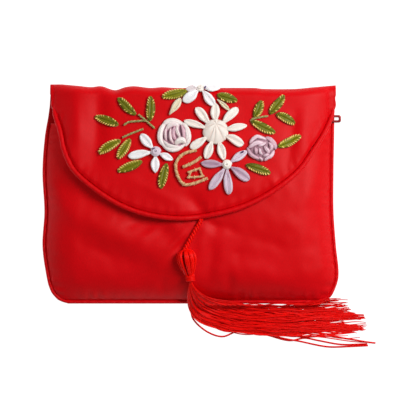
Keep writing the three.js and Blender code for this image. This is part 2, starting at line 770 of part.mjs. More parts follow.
// A flat bar with a round outer end and a slot through it.
function zipPull() {
  const wire = PULL_WIDTH / 4;
  const shape = new THREE.Shape();
  const half = PULL_WIDTH / 2;
  const corner = half * 0.5;
  shape.moveTo(pullStart, zipY - half);
  shape.lineTo(pullEnd - corner, zipY - half);
  shape.quadraticCurveTo(pullEnd, zipY - half, pullEnd, zipY - half + corner);
  shape.lineTo(pullEnd, zipY + half - corner);
  shape.quadraticCurveTo(pullEnd, zipY + half, pullEnd - corner, zipY + half);
  shape.lineTo(pullStart, zipY + half);
  shape.closePath();
  const slot = new THREE.Path();
  const slotStart = pullEnd - wire - PULL_WIDTH;
  slot.moveTo(slotStart, zipY - half + wire);
  slot.lineTo(slotStart, zipY + half - wire);
  slot.lineTo(pullEnd - wire, zipY + half - wire);
  slot.lineTo(pullEnd - wire, zipY - half + wire);
  slot.closePath();
  shape.holes.push(slot);
  const bar = new THREE.ExtrudeGeometry(shape, {
    depth: PULL_THICKNESS,
    bevelEnabled: false,
    curveSegments: 4,
  });
  return bar.translate(0, 0, zipFloor);
}

function zipSlider() {
  const end = pullStart - GAP;
  const low = zipY - PULL_WIDTH / 2;
  const high = low + SLIDER_WIDTH;
  return plate(end - SLIDER_LENGTH, end, low, high, zipFloor, zipFloor + SLIDER_HEIGHT);
}

function zipTape() {
  const end = pullStart - SLIDER_LENGTH - 2 * GAP;
  const start = ROLL - pouchSide(MOUTH, "left");
  const half = PULL_WIDTH / 2;
  return plate(start, end, zipY - half, zipY + half, zipFloor, zipFloor + TAPE_HEIGHT);
}

// The assembly
const purse = new THREE.Group();

function add(name, geometry, look) {
  const mesh = new THREE.Mesh(geometry, new THREE.MeshStandardMaterial(look));
  mesh.name = name;
  purse.add(mesh);
}

add("back_and_flap", backAndFlap(), SATIN);
add("front_panel", frontPanel(), SATIN);
add("flap_piping", flapPiping(), SATIN);
add("zip_tape", zipTape(), SATIN);
add("zip_slider", zipSlider(), LACQUER);
add("zip_pull", zipPull(), LACQUER);
add("tassel_cord", tasselCord(), RAYON);
add("tassel", tassel(), RAYON);
LEAVES.forEach((row, k) => add(`leaf_${String(k + 1).padStart(2, "0")}`, leaf(row), LEAF_GREEN));
BUDS.forEach((row, k) => add(`bud_${k + 1}`, bud(row), RIBBON_CREAM));
STEMS.forEach(({ name, runs }) => add(name, thread(runs, STEM_RADIUS), LEAF_GREEN));
GOLD.forEach(({ name, runs }) => add(name, thread(runs, GOLD_RADIUS), GOLD_THREAD));
add("daisy_cream", flower(DAISY_CREAM), RIBBON_CREAM);
add("daisy_lilac", flower(DAISY_LILAC), RIBBON_LILAC);
add("flower_white", flower(FLOWER_WHITE), RIBBON_WHITE);
add("flower_fold", flower(FLOWER_FOLD), RIBBON_WHITE);
add(ROSES[0].name, rose(ROSES[0]), RIBBON_CREAM);
add(ROSES[1].name, rose(ROSES[1]), RIBBON_LILAC);

export default purse;
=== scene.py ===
"""An embroidered satin purse with a flap and a tassel, lying on its back.

Lengths are in millimetres until a mesh is made. +X is the purse's right, +Y runs towards the
fold and +Z comes up out of the front.
"""

import math

import bpy
import numpy as np
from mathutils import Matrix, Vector


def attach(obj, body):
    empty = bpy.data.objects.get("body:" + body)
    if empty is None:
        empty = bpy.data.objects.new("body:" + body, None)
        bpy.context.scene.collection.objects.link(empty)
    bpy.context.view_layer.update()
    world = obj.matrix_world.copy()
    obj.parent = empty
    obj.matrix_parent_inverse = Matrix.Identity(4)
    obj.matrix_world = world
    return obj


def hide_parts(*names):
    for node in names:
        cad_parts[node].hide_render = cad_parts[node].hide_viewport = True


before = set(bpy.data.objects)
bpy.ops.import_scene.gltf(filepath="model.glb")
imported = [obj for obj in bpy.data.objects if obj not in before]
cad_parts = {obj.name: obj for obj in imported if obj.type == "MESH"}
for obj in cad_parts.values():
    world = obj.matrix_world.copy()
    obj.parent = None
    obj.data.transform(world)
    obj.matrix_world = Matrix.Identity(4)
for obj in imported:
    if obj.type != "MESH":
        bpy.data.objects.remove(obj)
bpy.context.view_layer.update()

MM = 0.001
FULL_TURN = 2 * math.pi
UP = np.array([0.0, 0.0, 1.0])

# Sizes of the purse
HALF_WIDTH = 60.0
HEIGHT = 88.8
CLOTH = 1.4
GAP = 0.3
SEAM_WIDTH = 1.4
PUFF = 10.0
ROLL = 14.0
MOUTH_DEPTH = 15.8
AIR = 1.0
FLAP_LENGTH = 55.2
FLAP_INSET = 2.2
FOLD_ROUND = 4.0
PIPE_RADIUS = 1.0
PIPE_INSET = 0.5
DOME_SHARE = 0.3
MOUTH_DIP = 0.42
ROLL_EDGE = 2.2
ROLL_CROWN = 0.92
SLOPE_STEP = 0.5

# Sizes of the embroidery
PETAL_WIDTH = 3.7
PETAL_RELIEF = 1.3
RIBBON_THICKNESS = 0.18
LEAF_LENGTH = 10.2
LEAF_WIDTH = 3.6
LEAF_RELIEF = 1.0
LEAF_RIBS = 9
STEM_RADIUS = 0.45
GOLD_RADIUS = 0.65
ROSE_RADIUS = 6.7
DAISY_RADIUS = 12.4

# Sizes of small stitches: long, wide, high
EYE_SIZE = (1.5, 0.8, 0.7)
TIE_SIZE = (1.9, 0.34, 0.7)
TOOTH_SIZE = (2.0, 0.5, 0.7)

# How many points there are along and across a petal, a rose's band and half a leaf
PETAL_GRID = (30, 17)
BAND_GRID = (26, 15)
LEAF_GRID = (24, 8)

# How many points run round the cream daisy's middle and the base of a rose
DAISY_POINTS = 96
ROSE_POINTS = 48

# Sizes of the tassel
CORD_RADIUS = 1.0
CORD_AT = 0.066
HEAD_LENGTH = 12.4
HEAD_WIDTH = 7.6
HEAD_THICKNESS = 5.0
HEAD_TURN = 100
SKIRT_REACH = 75.0
SKIRT_DROP = 24.0
SKIRT_THICKNESS = 3.2
STRAND_RADIUS = 0.25
STRAND_COUNT = 170
STRAND_LENGTH = 80.0

# The light: strengths of the paper and the sky, and the two lamps in metres and watts
PAPER_GLOW = 1.0
SKY = 0.23
LAMPS = {
    "key": {"place": (0.3, 0.16, 0.4), "size": 0.24, "power": 2.35, "gloss": True},
    "fill": {"place": (-0.62, 0.3, 0.3), "size": 0.5, "power": 0.95, "gloss": False},
}

# The camera: what lies in the middle of the picture, how wide the picture is there and how high
LENS = 300
SENSOR = 36
PICTURE_MIDDLE = (3.84, -2.42)
PICTURE_WIDTH = 161.6
PICTURE_LEVEL = 6.0

# The studio floor reaches this far each way, in metres
FLOOR_HALF = 3.0

# Sizes of the zip's end
PULL_WIDTH = 3.1
PULL_LENGTH = 11.5
PULL_THICKNESS = 1.2
PULL_PROUD = 2.7
SLIDER_LENGTH = 8.0
SLIDER_WIDTH = 3.9
SLIDER_HEIGHT = 3.0
TAPE_THICKNESS = 0.4
TAPE_LEVEL = 0.45
TEETH_LEVEL = 0.62
TEETH_STEP = 0.75
PULL_BEVEL = 0.22
SLIDER_BEVEL = 0.8
CORNER_STEPS = 6

BOTTOM = -HEIGHT / 2
TOP = HEIGHT / 2
MOUTH = TOP - MOUTH_DEPTH
FLAP_HALF = HALF_WIDTH - FLAP_INSET
RIM_TOP = 2 * CLOTH + GAP

# The pouch outline: at is a share of HEIGHT from the bottom, left and right of HALF_WIDTH.
POUCH_OUTLINE = {
    "at": [0, 0.007, 0.02, 0.06, 0.13, 0.265, 0.42, 0.6, 0.76, 0.89, 1],
    "left": [0.825, 0.862, 0.9, 0.946, 0.974, 1, 0.987, 1, 0.984, 0.953, 0.946],
    "right": [0.82, 0.875, 0.93, 0.972, 1, 0.982, 0.966, 0.966, 0.97, 0.973, 0.98],
}

# The fold seen from the front: at is a share of HALF_WIDTH, drop is how far it lies under TOP.
FOLD_LINE = {
    "at": [-0.87, -0.75, -0.67, -0.6, -0.51, -0.44, -0.38, -0.27, -0.19, -0.1,
           0.43, 0.49, 0.7, 0.83, 0.97],
    "drop": [0, 0.7, 1.15, 0.8, 2.4, 1.2, 0.8, 1.5, 1.2, 1.5, 1.5, 1.9, 1.9, 1.2, 0.4],
}

# The flap's outer edge: down is a share of FLAP_LENGTH from the fold, left and right of FLAP_HALF.
FLAP_EDGE = [
    (0.1, 0.972, 1.012),
    (0.203, 0.969, 1.012),
    (0.349, 0.927, 0.958),
    (0.495, 0.895, 0.871),
    (0.642, 0.825, 0.769),
    (0.788, 0.668, 0.598),
    (0.905, 0.486, 0.388),
    (0.972, 0.3, 0.16),
]
FLAP_TIP = -0.07

# Soft folds: from, to (shares of HALF_WIDTH and TOP), wide (share of HALF_WIDTH), rise (of PUFF)
FOLDS = [
    ((-0.6, 0.98), (-0.64, 0.3), 0.07, -0.09),
    ((-0.78, 0.98), (-0.8, 0.35), 0.06, 0.05),
    ((0.78, 0.55), (0.72, 0.1), 0.06, -0.06),
    ((-0.88, -0.05), (-0.1, -0.6), 0.1, 0.09),
    ((-0.7, -0.35), (-0.15, -0.8), 0.1, -0.08),
    ((0.17, -0.3), (0.2, -0.95), 0.05, -0.1),
    ((0.32, -0.55), (0.34, -0.95), 0.04, -0.08),
    ((0.03, -0.05), (0.06, -0.18), 0.07, -0.1),
]

# Creases of the cloth, in millimetres, which fade out towards their ends: from, to, wide, rise
FRONT_CREASES = [
    ((-57, 6), (-31, -9), 5.0, -1.5),
    ((-31, -9), (-6, -15), 5.0, -1.3),
    ((-52, -8), (-10, -28), 6.0, 0.9),
    ((-50, -16), (-14, -37), 6.0, -0.6),
    ((10.6, -13), (11.8, -42), 3.0, 0.95),
    ((19.3, -26), (20.3, -42), 2.6, 0.75),
    ((16, -31), (15.2, -42), 2.0, -0.8),
    ((8.5, -20), (7, -34), 2.8, -0.8),
    ((5.2, -16), (4.4, -26), 2.4, 0.7),
    ((-2.5, -15), (-8.5, -22), 1.6, 0.9),
    ((-0.5, -16.5), (-5.5, -23.5), 1.4, -0.7),
    ((-11, -33), (-12, -41), 2.2, -0.45),
    ((-8, -9), (-1, -20), 3.0, 0.7),
    ((-3, -12), (-9, -30), 2.4, -0.6),
    ((2, -12), (16, -22), 3.0, 0.5),
    ((30, -8), (52, -16), 6.0, 0.5),
    ((24, -24), (50, -33), 5.0, -0.4),
    ((33, -43), (36.5, -39), 1.0, -0.8),
    ((47, -8), (50, -34), 4.0, -0.5),
    ((55, 12), (54, -30), 2.5, 0.4),
    ((-12, -6), (-26, -13), 1.8, -0.5),
    ((-9, -11), (-22, -20), 1.6, 0.45),
    ((4, -7), (14, -13), 1.6, 0.5),
    ((6, -10), (20, -16), 1.8, -0.5),
    ((-13, -28), (-24, -36), 1.8, -0.4),
    ((26, -18), (40, -22), 2.4, -0.35),
    ((-44, -20), (-30, -26), 2.2, -0.35),
]
FLAP_CREASES = [
    ((42, 32), (39, 10), 2.2, -0.8),
    ((46.5, 33), (44.5, 9), 2.4, 0.6),
    ((51, 28), (47, 7), 1.6, -0.5),
    ((31, 8), (35, 2), 1.8, 0.4),
    ((-46, 38), (-45, 18), 2.6, 0.6),
    ((-37, 40), (-38, 16), 3.0, -0.6),
    ((-52, 34), (-51, 16), 1.8, -0.4),
    ((-24, 6), (-4, -4), 2.4, 0.4),
    ((0, -1), (5, -8), 2.2, -0.7),
    ((10, 2), (30, 4), 3.0, 0.4),
]

# Embroidery: x is a share of FLAP_HALF, down of FLAP_LENGTH, turn is in degrees towards the tip.
# Leaves are x, down, turn, long (a share of LEAF_LENGTH), how strongly the gold ends of the
# stitches show on the left and on the right, and tone (nought is the dark end of the greens).
LEAVES = [
    (-0.442, 0.166, 137, 0.97, 0.2, 0.5, 0.35),
    (-0.28, 0.184, 88, 0.98, 0.5, 0.5, 0.45),
    (-0.584, 0.272, 161, 1.0, 0.9, 0.3, 0.35),
    (-0.56, 0.463, 212, 0.99, 0.9, 1.0, 0.75),
    (-0.46, 0.477, 239, 0.91, 0.9, 0.9, 0.8),
    (-0.42, 0.605, 203, 1.03, 0.2, 1.0, 0.7),
    (-0.185, 0.675, 257, 1.01, 0.6, 0.6, 0.55),
    (-0.11, 0.078, 194, 1.01, 0.5, 0.9, 0.85),
    (0.256, 0.104, -16, 0.82, 0.2, 0.5, 0.4),
    (0.47, 0.188, 67, 0.75, 0.3, 0.6, 0.5),
    (0.602, 0.155, 52, 0.93, 0.4, 0.5, 0.5),
    (0.662, 0.256, -26, 0.83, 0.2, 0.7, 0.4),
    (0.504, 0.316, -26, 1.07, 0.2, 0.9, 0.4),
    (0.688, 0.422, 25, 1.02, 1.0, 0.6, 0.8),
    (0.47, 0.625, -19, 1.02, 0.2, 0.8, 0.3),
]

# Buds are x, down, turn, long, wide (a share of PETAL_WIDTH) and tone
BUDS = [
    (-0.106, 0.17, 53, 0.76, 0.75, 0.3),
    (0.228, 0.154, -41, 0.62, 0.42, 0.45),
]

# Flowers: knot is the radius of the middle (share of DAISY_RADIUS). Petals are turn, tip (share of
# DAISY_RADIUS), wide (of PETAL_WIDTH), tone (nought is the light end of the ribbon's colours),
# corner (a tip that is drawn to the right when it is over nought, and to the left under it) and
# blunt (a higher number is a squarer tip).
DAISY_CREAM = {
    "x": 0.175,
    "down": 0.353,
    "knot": 0.4,
    "petals": [
        (92, 0.93, 1.1, 0.2, 0.1, 1.8),
        (49, 1.06, 1, 0.1, 0.7, 3.0),
        (12, 1.03, 0.9, 0.15, 0.0, 1.6),
        (-24, 0.98, 1.1, 0.3, 0.8, 2.2),
        (-73, 0.94, 1, 0.25, 0.2, 1.7),
        (-110, 0.92, 1.02, 0.2, -0.1, 2.2),
        (-147, 0.97, 0.95, 0.15, 0.1, 3.5),
        (160, 1.08, 0.82, 0.2, -0.2, 2.5),
        (128, 1.01, 1.05, 0.15, 0.3, 3.0),
    ],
}
DAISY_LILAC = {
    "x": 0.254,
    "down": 0.593,
    "knot": 0.16,
    "petals": [
        (178, 0.84, 0.95, 0.8, -0.3, 2.0),
        (-124, 0.98, 1, 0.4, 0.1, 2.6),
        (-86, 0.95, 1, 0.45, -0.5, 3.0),
        (-34, 0.86, 1.15, 0.7, 0.3, 3.0),
        (35, 0.76, 0.9, 0.25, 0.0, 2.0),
    ],
}
FLOWER_WHITE = {
    "x": -0.24,
    "down": 0.5,
    "knot": 0.17,
    "petals": [
        (132, 0.74, 1.05, 0.2, 0.2, 2.6),
        (188, 0.9, 1, 0.0, -0.4, 3.0),
        (-94, 0.67, 1, 0.05, 0.0, 1.7),
        (-25, 0.6, 0.8, 0.1, 0.0, 1.6),
    ],
}
FLOWER_FOLD = {
    "x": 0.07,
    "down": 0.042,
    "knot": 0.13,
    "petals": [
        (218, 0.68, 1.08, 0.0, 0.2, 4.0),
        (-48, 0.7, 1, 0.3, 0.2, 2.5),
        (6, 0.64, 1, 0.05, 0.0, 1.8),
        (38, 0.5, 0.8, 0.15, 0.0, 2.2),
        (182, 0.46, 0.85, 0.9, 0.0, 2.2),
    ],
}

# Roses: size is a share of ROSE_RADIUS and base the tone of a dark disc under the bands, painted shade for
# the gaps between them. Each band of ribbon has points (millimetres from the rose's middle), wide, high,
# tone and how much darker its left and its right edge are, painted shade along them. The outer bands come
# first.
ROSE_CREAM = {
    "x": -0.114,
    "down": 0.378,
    "size": 1.0,
    "base": 0.75,
    "bands": [
        ([(4.4, -4.4), (5.8, -2.2), (6.0, 0.4), (4.9, 3.1), (2.5, 5.2)], 2.0, 1.3, 0.02, 0.3, 0.0),
        ([(3.6, 4.0), (1.6, 5.3), (-0.7, 5.8), (-2.9, 5.1), (-4.6, 3.6)], 2.5, 1.4, 0.03, 0.15, 0.0),
        ([(-3.4, 5.1), (-5.0, 2.9), (-5.5, 0.2), (-5.0, -2.7), (-3.2, -4.7)], 2.5, 1.5, 0.0, 0.3, 0.0),
        ([(-5.2, -2.8), (-3.5, -4.8), (-0.8, -5.9), (1.9, -5.4), (4.5, -3.9)], 2.0, 1.5, 0.02, 0.25, 0.0),
        ([(2.2, 3.6), (0.1, 4.3), (-1.9, 3.8), (-3.3, 2.2)], 2.5, 1.8, 0.12, 0.25, 0.05),
        ([(4.6, 3.0), (5.1, 0.9), (5.0, -2.2)], 1.5, 1.7, 0.08, 0.35, 0.1),
        ([(-2.9, 2.9), (-3.5, 0.4), (-2.9, -2.4)], 1.7, 1.9, 0.22, 0.6, 0.35),
        ([(3.1, 4.0), (3.6, 1.8), (4.3, -1.5)], 1.8, 1.9, 0.34, 0.25, 0.6),
        ([(0.3, 3.6), (-0.3, 0.9), (0.6, -2.2)], 1.9, 2.0, 0.36, 0.3, 0.2),
        ([(-1.4, 2.7), (-1.6, 0.7), (-1.2, -1.8), (-0.2, -3.7)], 1.5, 2.2, 0.2, 0.15, 0.6),
        ([(1.5, 4.2), (1.3, 1.7), (2.2, -1.2)], 2.0, 2.3, 0.1, 0.65, 0.2),
        ([(-4.2, -2.2), (-2.4, -4.0), (-0.1, -4.9), (2.3, -4.6)], 1.9, 2.1, 0.04, 0.3, 0.1),
        ([(0.3, -3.8), (1.4, -2.6), (3.3, -2.2), (5.0, -3.1)], 2.8, 2.5, 0.0, 0.25, 0.05),
    ],
}
ROSE_LILAC = {
    "x": 0.493,
    "down": 0.476,
    "size": 0.87,
    "base": 0.7,
    "bands": [
        ([(5.5, -0.4), (5.0, 2.0), (3.7, 3.5), (1.5, 4.3)], 2.2, 1.3, 0.3, 0.5, 0.1),
        ([(1.9, 3.5), (0.0, 4.4), (-1.7, 4.8), (-3.3, 3.7), (-4.7, 2.0)], 1.8, 1.5, 0.08, 0.5, 0.1),
        ([(-5.7, 0.4), (-4.5, -2.1), (-2.6, -3.3), (-0.4, -4.3)], 1.7, 1.4, 0.3, 0.5, 0.1),
        ([(1.2, -4.9), (2.4, -3.7), (3.9, -2.6), (5.2, -0.8)], 1.8, 1.5, 0.16, 0.5, 0.1),
        ([(-1.2, -3.4), (-0.2, -4.1), (0.1, -5.1)], 1.3, 1.6, 0.15, 0.5, 0.3),
        ([(0.4, -3.0), (1.7, -2.6), (3.2, -2.5)], 1.5, 1.7, 0.22, 0.55, 0.3),
        ([(3.0, 2.6), (3.8, 0.8), (3.5, -1.2)], 1.9, 1.8, 0.18, 0.3, 0.6),
        ([(-2.5, 0.4), (-2.3, -1.0), (-2.0, -2.3)], 1.8, 1.9, 0.3, 0.35, 0.4),
        ([(-1.0, 0.2), (-0.6, -1.4), (0.3, -2.5)], 1.5, 2.0, 0.06, 0.5, 0.4),
        ([(1.4, 1.9), (-0.8, 2.3), (-3.0, 1.6), (-5.3, 0.3)], 2.2, 1.9, 0.12, 0.4, 0.2),
        ([(0.7, 0.7), (2.2, -0.5), (2.7, -2.3)], 2.1, 2.0, 0.16, 0.3, 0.45),
        ([(-1.6, 1.0), (0.2, 1.4), (1.8, 2.3)], 1.5, 2.2, 0.06, 0.25, 0.5),
    ],
}

# The cream daisy's pleats: where each one starts round its middle, in radians
PLEATS = [0.25, 1.35, 1.85, 2.95, 4.15, 4.6, 5.5]

# Dark stitches in the middles of three flowers: x and y in millimetres, and turn in degrees
EYES = {
    "flower_white": [(-14.7, 17.9, 30), (-13.5, 17.0, 120)],
    "daisy_lilac": [(20.8, 16.6, 25)],
    "flower_fold": [(5.9, 41.7, 60)],
}

# Stems and gold thread: points as shares of FLAP_HALF and FLAP_LENGTH
STEMS = {
    "stem_upper": [
        [(-0.36, 0.227), (-0.311, 0.27), (-0.248, 0.328)],
        [(-0.462, 0.305), (-0.434, 0.284), (-0.38, 0.276), (-0.311, 0.272)],
    ],
    "stem_lower": [[(-0.472, 0.395), (-0.4, 0.362), (-0.328, 0.333)]],
    "stem_right": [[(0.42, 0.275), (0.43, 0.262), (0.485, 0.247), (0.54, 0.238)]],
}
GOLD = {
    "basket": [
        [(0.041, 0.49), (-0.03, 0.508), (-0.071, 0.536), (-0.1, 0.585), (-0.09, 0.67),
         (-0.045, 0.734), (0.02, 0.728), (0.117, 0.69)],
        [(-0.018, 0.648), (0.02, 0.635), (0.07, 0.618)],
        [(-0.022, 0.684), (0.03, 0.683), (0.095, 0.674)],
        [(0.006, 0.636), (-0.004, 0.66), (-0.012, 0.692)],
        [(0.06, 0.618), (0.072, 0.645), (0.085, 0.678)],
    ],
    "basket_bar": [[(-0.052, 0.61), (0.0, 0.588), (0.04, 0.565), (0.072, 0.538)]],
}

# The sweep of the skirt between its inner and its outer side, as shares of SKIRT_REACH and, down,
# of SKIRT_DROP from the neck on: inner across, inner down, outer across, outer down
SWEEP = [
    (0, 0, 0, 0),
    (0.025, 0.14, -0.015, 0.24),
    (0.09, 0.29, -0.008, 0.5),
    (0.19, 0.37, 0.035, 0.7),
    (0.32, 0.41, 0.2, 0.89),
    (0.53, 0.41, 0.48, 0.96),
    (0.73, 0.38, 0.74, 0.98),
    (0.88, 0.34, 1.0, 1.02),
]
NECK = np.array([0.0, -0.775 * TOP])
HEAD_WAY = np.array([math.cos(math.radians(HEAD_TURN)), math.sin(math.radians(HEAD_TURN))])
HEAD_SIDE = np.array([HEAD_WAY[1], -HEAD_WAY[0]])
HEAD_TOP = NECK + HEAD_LENGTH * HEAD_WAY

# Where the strands gather, as shares across: in bunches at the head, in locks at the tips
BUNCHES = np.array([0.0, 0.1, 0.22, 0.42, 0.55, 0.62, 0.7, 0.8, 0.95])
LOCKS = np.linspace(0.02, 0.98, 15)

# How many points a strand has in the head, in the skirt and when it has come loose
HEAD_STEPS = 13
SKIRT_STEPS = 58
STRAY_STEPS = 70

# Three strands that have come loose from the skirt and lie beside it
STRAYS = [
    [(0.2, -46.5), (1.0, -50.5), (6.7, -55.8), (13.1, -57.8), (18.4, -55.8), (23.2, -55.6),
     (30.5, -57.0), (40.2, -59.4), (46.3, -58.4), (51.9, -59.4), (61.2, -61.0), (71.7, -60.8)],
    [(30.0, -56.4), (38.0, -58.6), (43.8, -59.6), (55.6, -61.9), (64.0, -61.8), (72.0, -61.4)],
    [(33.0, -55.6), (44.2, -57.8), (56.0, -57.6), (64.5, -58.8), (71.7, -60.0), (75.0, -60.4)],
]


def srgb(red, green, blue):
    """A colour given as it looks on a screen, from 0 to 255, as the renderer wants it."""
    return tuple(
        c / 12.92 if c <= 0.04045 else ((c + 0.055) / 1.055) ** 2.4
        for c in (red / 255, green / 255, blue / 255)
    ) + (1.0,)


# Form of the purse


def blend(first, second, share):
    """From the first at share nought to the second at share one."""
    return first + (second - first) * share


def smooth(value, low, high):
    """Nought up to low and one from high on, with a soft step between them."""
    t = np.clip((value - low) / (high - low), 0, 1)
    return t * t * (3 - 2 * t)


def bell(distance):
    """One at nought, and falling softly to nought on both sides."""
    return np.exp(-distance * distance)


def read_table(table, column, at):
    """A column of a table between its rows, on a smooth curve through them."""
    keys = np.array(table["at"], float)
    values = np.array(table[column], float)
    last = len(keys) - 1
    before = np.maximum(np.arange(last + 1) - 1, 0)
    after = np.minimum(np.arange(last + 1) + 1, last)
    slopes = (values[after] - values[before]) / (keys[after] - keys[before])
    k = np.clip(np.searchsorted(keys, at, side="right") - 1, 0, last - 1)
    span = keys[k + 1] - keys[k]
    t = np.clip((at - keys[k]) / span, 0, 1)
    bend = t * t * (3 - 2 * t)
    ease = t * (1 - t) * span
    return blend(values[k], values[k + 1], bend) + ease * ((1 - t) * slopes[k] - t * slopes[k + 1])


def ripple(x, y, wave, seed):
    """A soft uneven swell between about -1 and 1, with the given length of wave."""
    rng = np.random.default_rng(seed)
    total = 0
    for _ in range(6):
        angle, phase = rng.uniform(0, FULL_TURN, 2)
        pace = FULL_TURN / wave * rng.uniform(0.6, 1.5)
        total = total + np.sin(pace * (x * math.cos(angle) + y * math.sin(angle)) + phase)
    return total / 3


def swell_along(around, wave, seed):
    return ripple(around, 0 * around, wave, seed)


def pouch_side(y, side):
    return HALF_WIDTH * read_table(POUCH_OUTLINE, side, (y - BOTTOM) / HEIGHT)


def fold_line(x):
    """How far up the fold lies, seen from the front."""
    return TOP - read_table(FOLD_LINE, "drop", x / HALF_WIDTH)


def rolled(inwards, reach):
    """A puffed edge: steep at the seam and level from reach on."""
    t = np.clip(inwards / reach, 0, 1)
    return (1 - (1 - t) ** ROLL_EDGE) ** ROLL_CROWN


def rise(inwards, half):
    return (1 - DOME_SHARE) * rolled(inwards, ROLL) + DOME_SHARE * rolled(inwards, half)


def creases(x, y, table, across=1.0, up=1.0, ends=0.35):
    """The rise of a table of creases. across and up are its units, ends is what their ends keep."""
    total = 0
    for (ax, ay), (bx, by), wide, high in table:
        ax, ay = ax * across, ay * up
        bx, by = bx * across - ax, by * up - ay
        on = np.clip(((x - ax) * bx + (y - ay) * by) / (bx * bx + by * by), 0, 1)
        off = np.hypot(x - ax - on * bx, y - ay - on * by) / (wide * across)
        total = total + high * bell(off) * (ends + (1 - ends) * np.sin(math.pi * on))
    return total


def side_distance(x, y):
    return np.where(x < 0, x + pouch_side(y, "left"), pouch_side(y, "right") - x)


def pouch_top(x, y):
    """The puffed front, which goes on past the mouth as the form that the flap follows."""
    in_side = np.maximum(side_distance(x, y) - SEAM_WIDTH, 0)
    in_bottom = np.maximum(y - BOTTOM - SEAM_WIDTH, 0)
    dip = 1 - MOUTH_DIP * smooth(y, 0, TOP)
    full = rise(in_side, HALF_WIDTH) * rise(in_bottom, TOP)
    return RIM_TOP + PUFF * full * (dip + creases(x, y, FOLDS, HALF_WIDTH, TOP, ends=1.0))


def flap_top(x, y):
    slack = 0.2 * ripple(x, y, 30, 5) + 0.06 * ripple(x, y, 11, 6) + creases(x, y, FLAP_CREASES)
    return pouch_top(x, y) + AIR + CLOTH + slack * smooth(side_distance(x, y), 0, 8)


def turn_start(x):
    return fold_line(x) - FOLD_ROUND


def on_turn(x, angle):
    """A point on the rounded fold: angle nought is the front, half a turn is the back."""
    y = turn_start(x)
    half = flap_top(x, y) / 2
    return np.stack([x + 0 * angle, y + FOLD_ROUND * np.sin(angle), half + half * np.cos(angle)], -1)


def over_flap(x, y, height):
    """A point over the flap, at a height square to it. What lies past the fold goes round it."""
    x, y, height = np.broadcast_arrays(*(np.asarray(v, float) for v in (x, y, height)))
    ahead = SLOPE_STEP
    dx = (flap_top(x + ahead, y) - flap_top(x - ahead, y)) / (2 * ahead)
    dy = (flap_top(x, y + ahead) - flap_top(x, y - ahead)) / (2 * ahead)
    normal = np.stack([-dx, -dy, np.ones_like(dx)], -1)
    normal /= np.linalg.norm(normal, axis=-1, keepdims=True)
    flat = np.stack([x, y, flap_top(x, y)], -1) + normal * height[..., None]
    start = turn_start(x)
    angle = np.maximum(y - start, 0) / FOLD_ROUND
    out = np.stack([0 * angle, np.sin(angle), np.cos(angle)], -1)
    turned = on_turn(x, angle) + out * height[..., None]
    return np.where((y > start)[..., None], turned, flat)


def flap_x(share):
    return share * FLAP_HALF


def flap_y(share):
    return TOP - share * FLAP_LENGTH


def between(first, second, at, start, end):
    """The straight mix of two points as at goes from start to end."""
    return ((end - at) * first + (at - start) * second) / (end - start)


class Route:
    """A smooth line through a few points, read by its share of the length."""

    def __init__(self, points, steps=20):
        p = np.array(points, float)
        p = np.vstack([2 * p[0] - p[1], p, 2 * p[-1] - p[-2]])
        line = []
        for k in range(1, len(p) - 2):
            knots = [0.0]
            for a, b in ((k - 1, k), (k, k + 1), (k + 1, k + 2)):
                knots.append(knots[-1] + math.sqrt(np.linalg.norm(p[b] - p[a])) + 1e-9)
            t0, t1, t2, t3 = knots
            t = np.linspace(t1, t2, steps, endpoint=False)[:, None]
            a1 = between(p[k - 1], p[k], t, t0, t1)
            a2 = between(p[k], p[k + 1], t, t1, t2)
            a3 = between(p[k + 1], p[k + 2], t, t2, t3)
            b1 = between(a1, a2, t, t0, t2)
            b2 = between(a2, a3, t, t1, t3)
            line.append(between(b1, b2, t, t1, t2))
        self.line = np.vstack(line + [p[-2:-1]])
        steps_taken = np.linalg.norm(np.diff(self.line, axis=0), axis=1)
        self.along = np.concatenate([[0], np.cumsum(steps_taken)])
        self.length = self.along[-1]

    def at(self, share):
        where = np.asarray(share, float) * self.length
        columns = [np.interp(where, self.along, self.line[:, c]) for c in range(self.line.shape[1])]
        return np.stack(columns, -1)

    def ahead(self, share):
        step = 0.002
        way = self.at(np.minimum(share + step, 1)) - self.at(np.maximum(share - step, 0))
        return way / np.linalg.norm(way, axis=-1, keepdims=True)


flap_edge = Route(
    [(flap_x(-left), flap_y(down)) for down, left, _ in FLAP_EDGE]
    + [(flap_x(FLAP_TIP), flap_y(1))]
    + [(flap_x(right), flap_y(down)) for down, _, right in reversed(FLAP_EDGE)]
)


def raised(at, z):
    """Points seen from above, each with its height."""
    return np.concatenate([at, z[:, None]], 1)


def edge_point(share, inset):
    way = flap_edge.ahead(share)
    return flap_edge.at(share) + np.stack([-way[..., 1], way[..., 0]], -1) * np.asarray(inset)[..., None]


# Making meshes


def slab(top, bottom):
    """The points and faces of a closed sheet between two grids of the same shape."""
    high, wide = top.shape[:2]
    index = np.arange(high * wide).reshape(high, wide)
    under = index + high * wide

    def quads(a, b, c, d):
        return np.stack([a.ravel(), b.ravel(), c.ravel(), d.ravel()], 1)

    faces = [
        quads(index[:-1, :-1], index[:-1, 1:], index[1:, 1:], index[1:, :-1]),
        quads(under[:-1, :-1], under[1:, :-1], under[1:, 1:], under[:-1, 1:]),
        quads(index[0, 1:], index[0, :-1], under[0, :-1], under[0, 1:]),
        quads(index[-1, :-1], index[-1, 1:], under[-1, 1:], under[-1, :-1]),
        quads(index[:-1, 0], index[1:, 0], under[1:, 0], under[:-1, 0]),
        quads(index[1:, -1], index[:-1, -1], under[:-1, -1], under[1:, -1]),
    ]
    points = np.concatenate([top.reshape(-1, 3), bottom.reshape(-1, 3)])
    return points, np.concatenate(faces)


def outwards(grid):
    """The direction square to a grid at each of its points, on the side that its columns turn to."""
    across = np.gradient(grid, axis=1)
    along = np.gradient(grid, axis=0)
    normal = np.cross(across, along)
    return normal / np.maximum(np.linalg.norm(normal, axis=-1, keepdims=True), 1e-9)


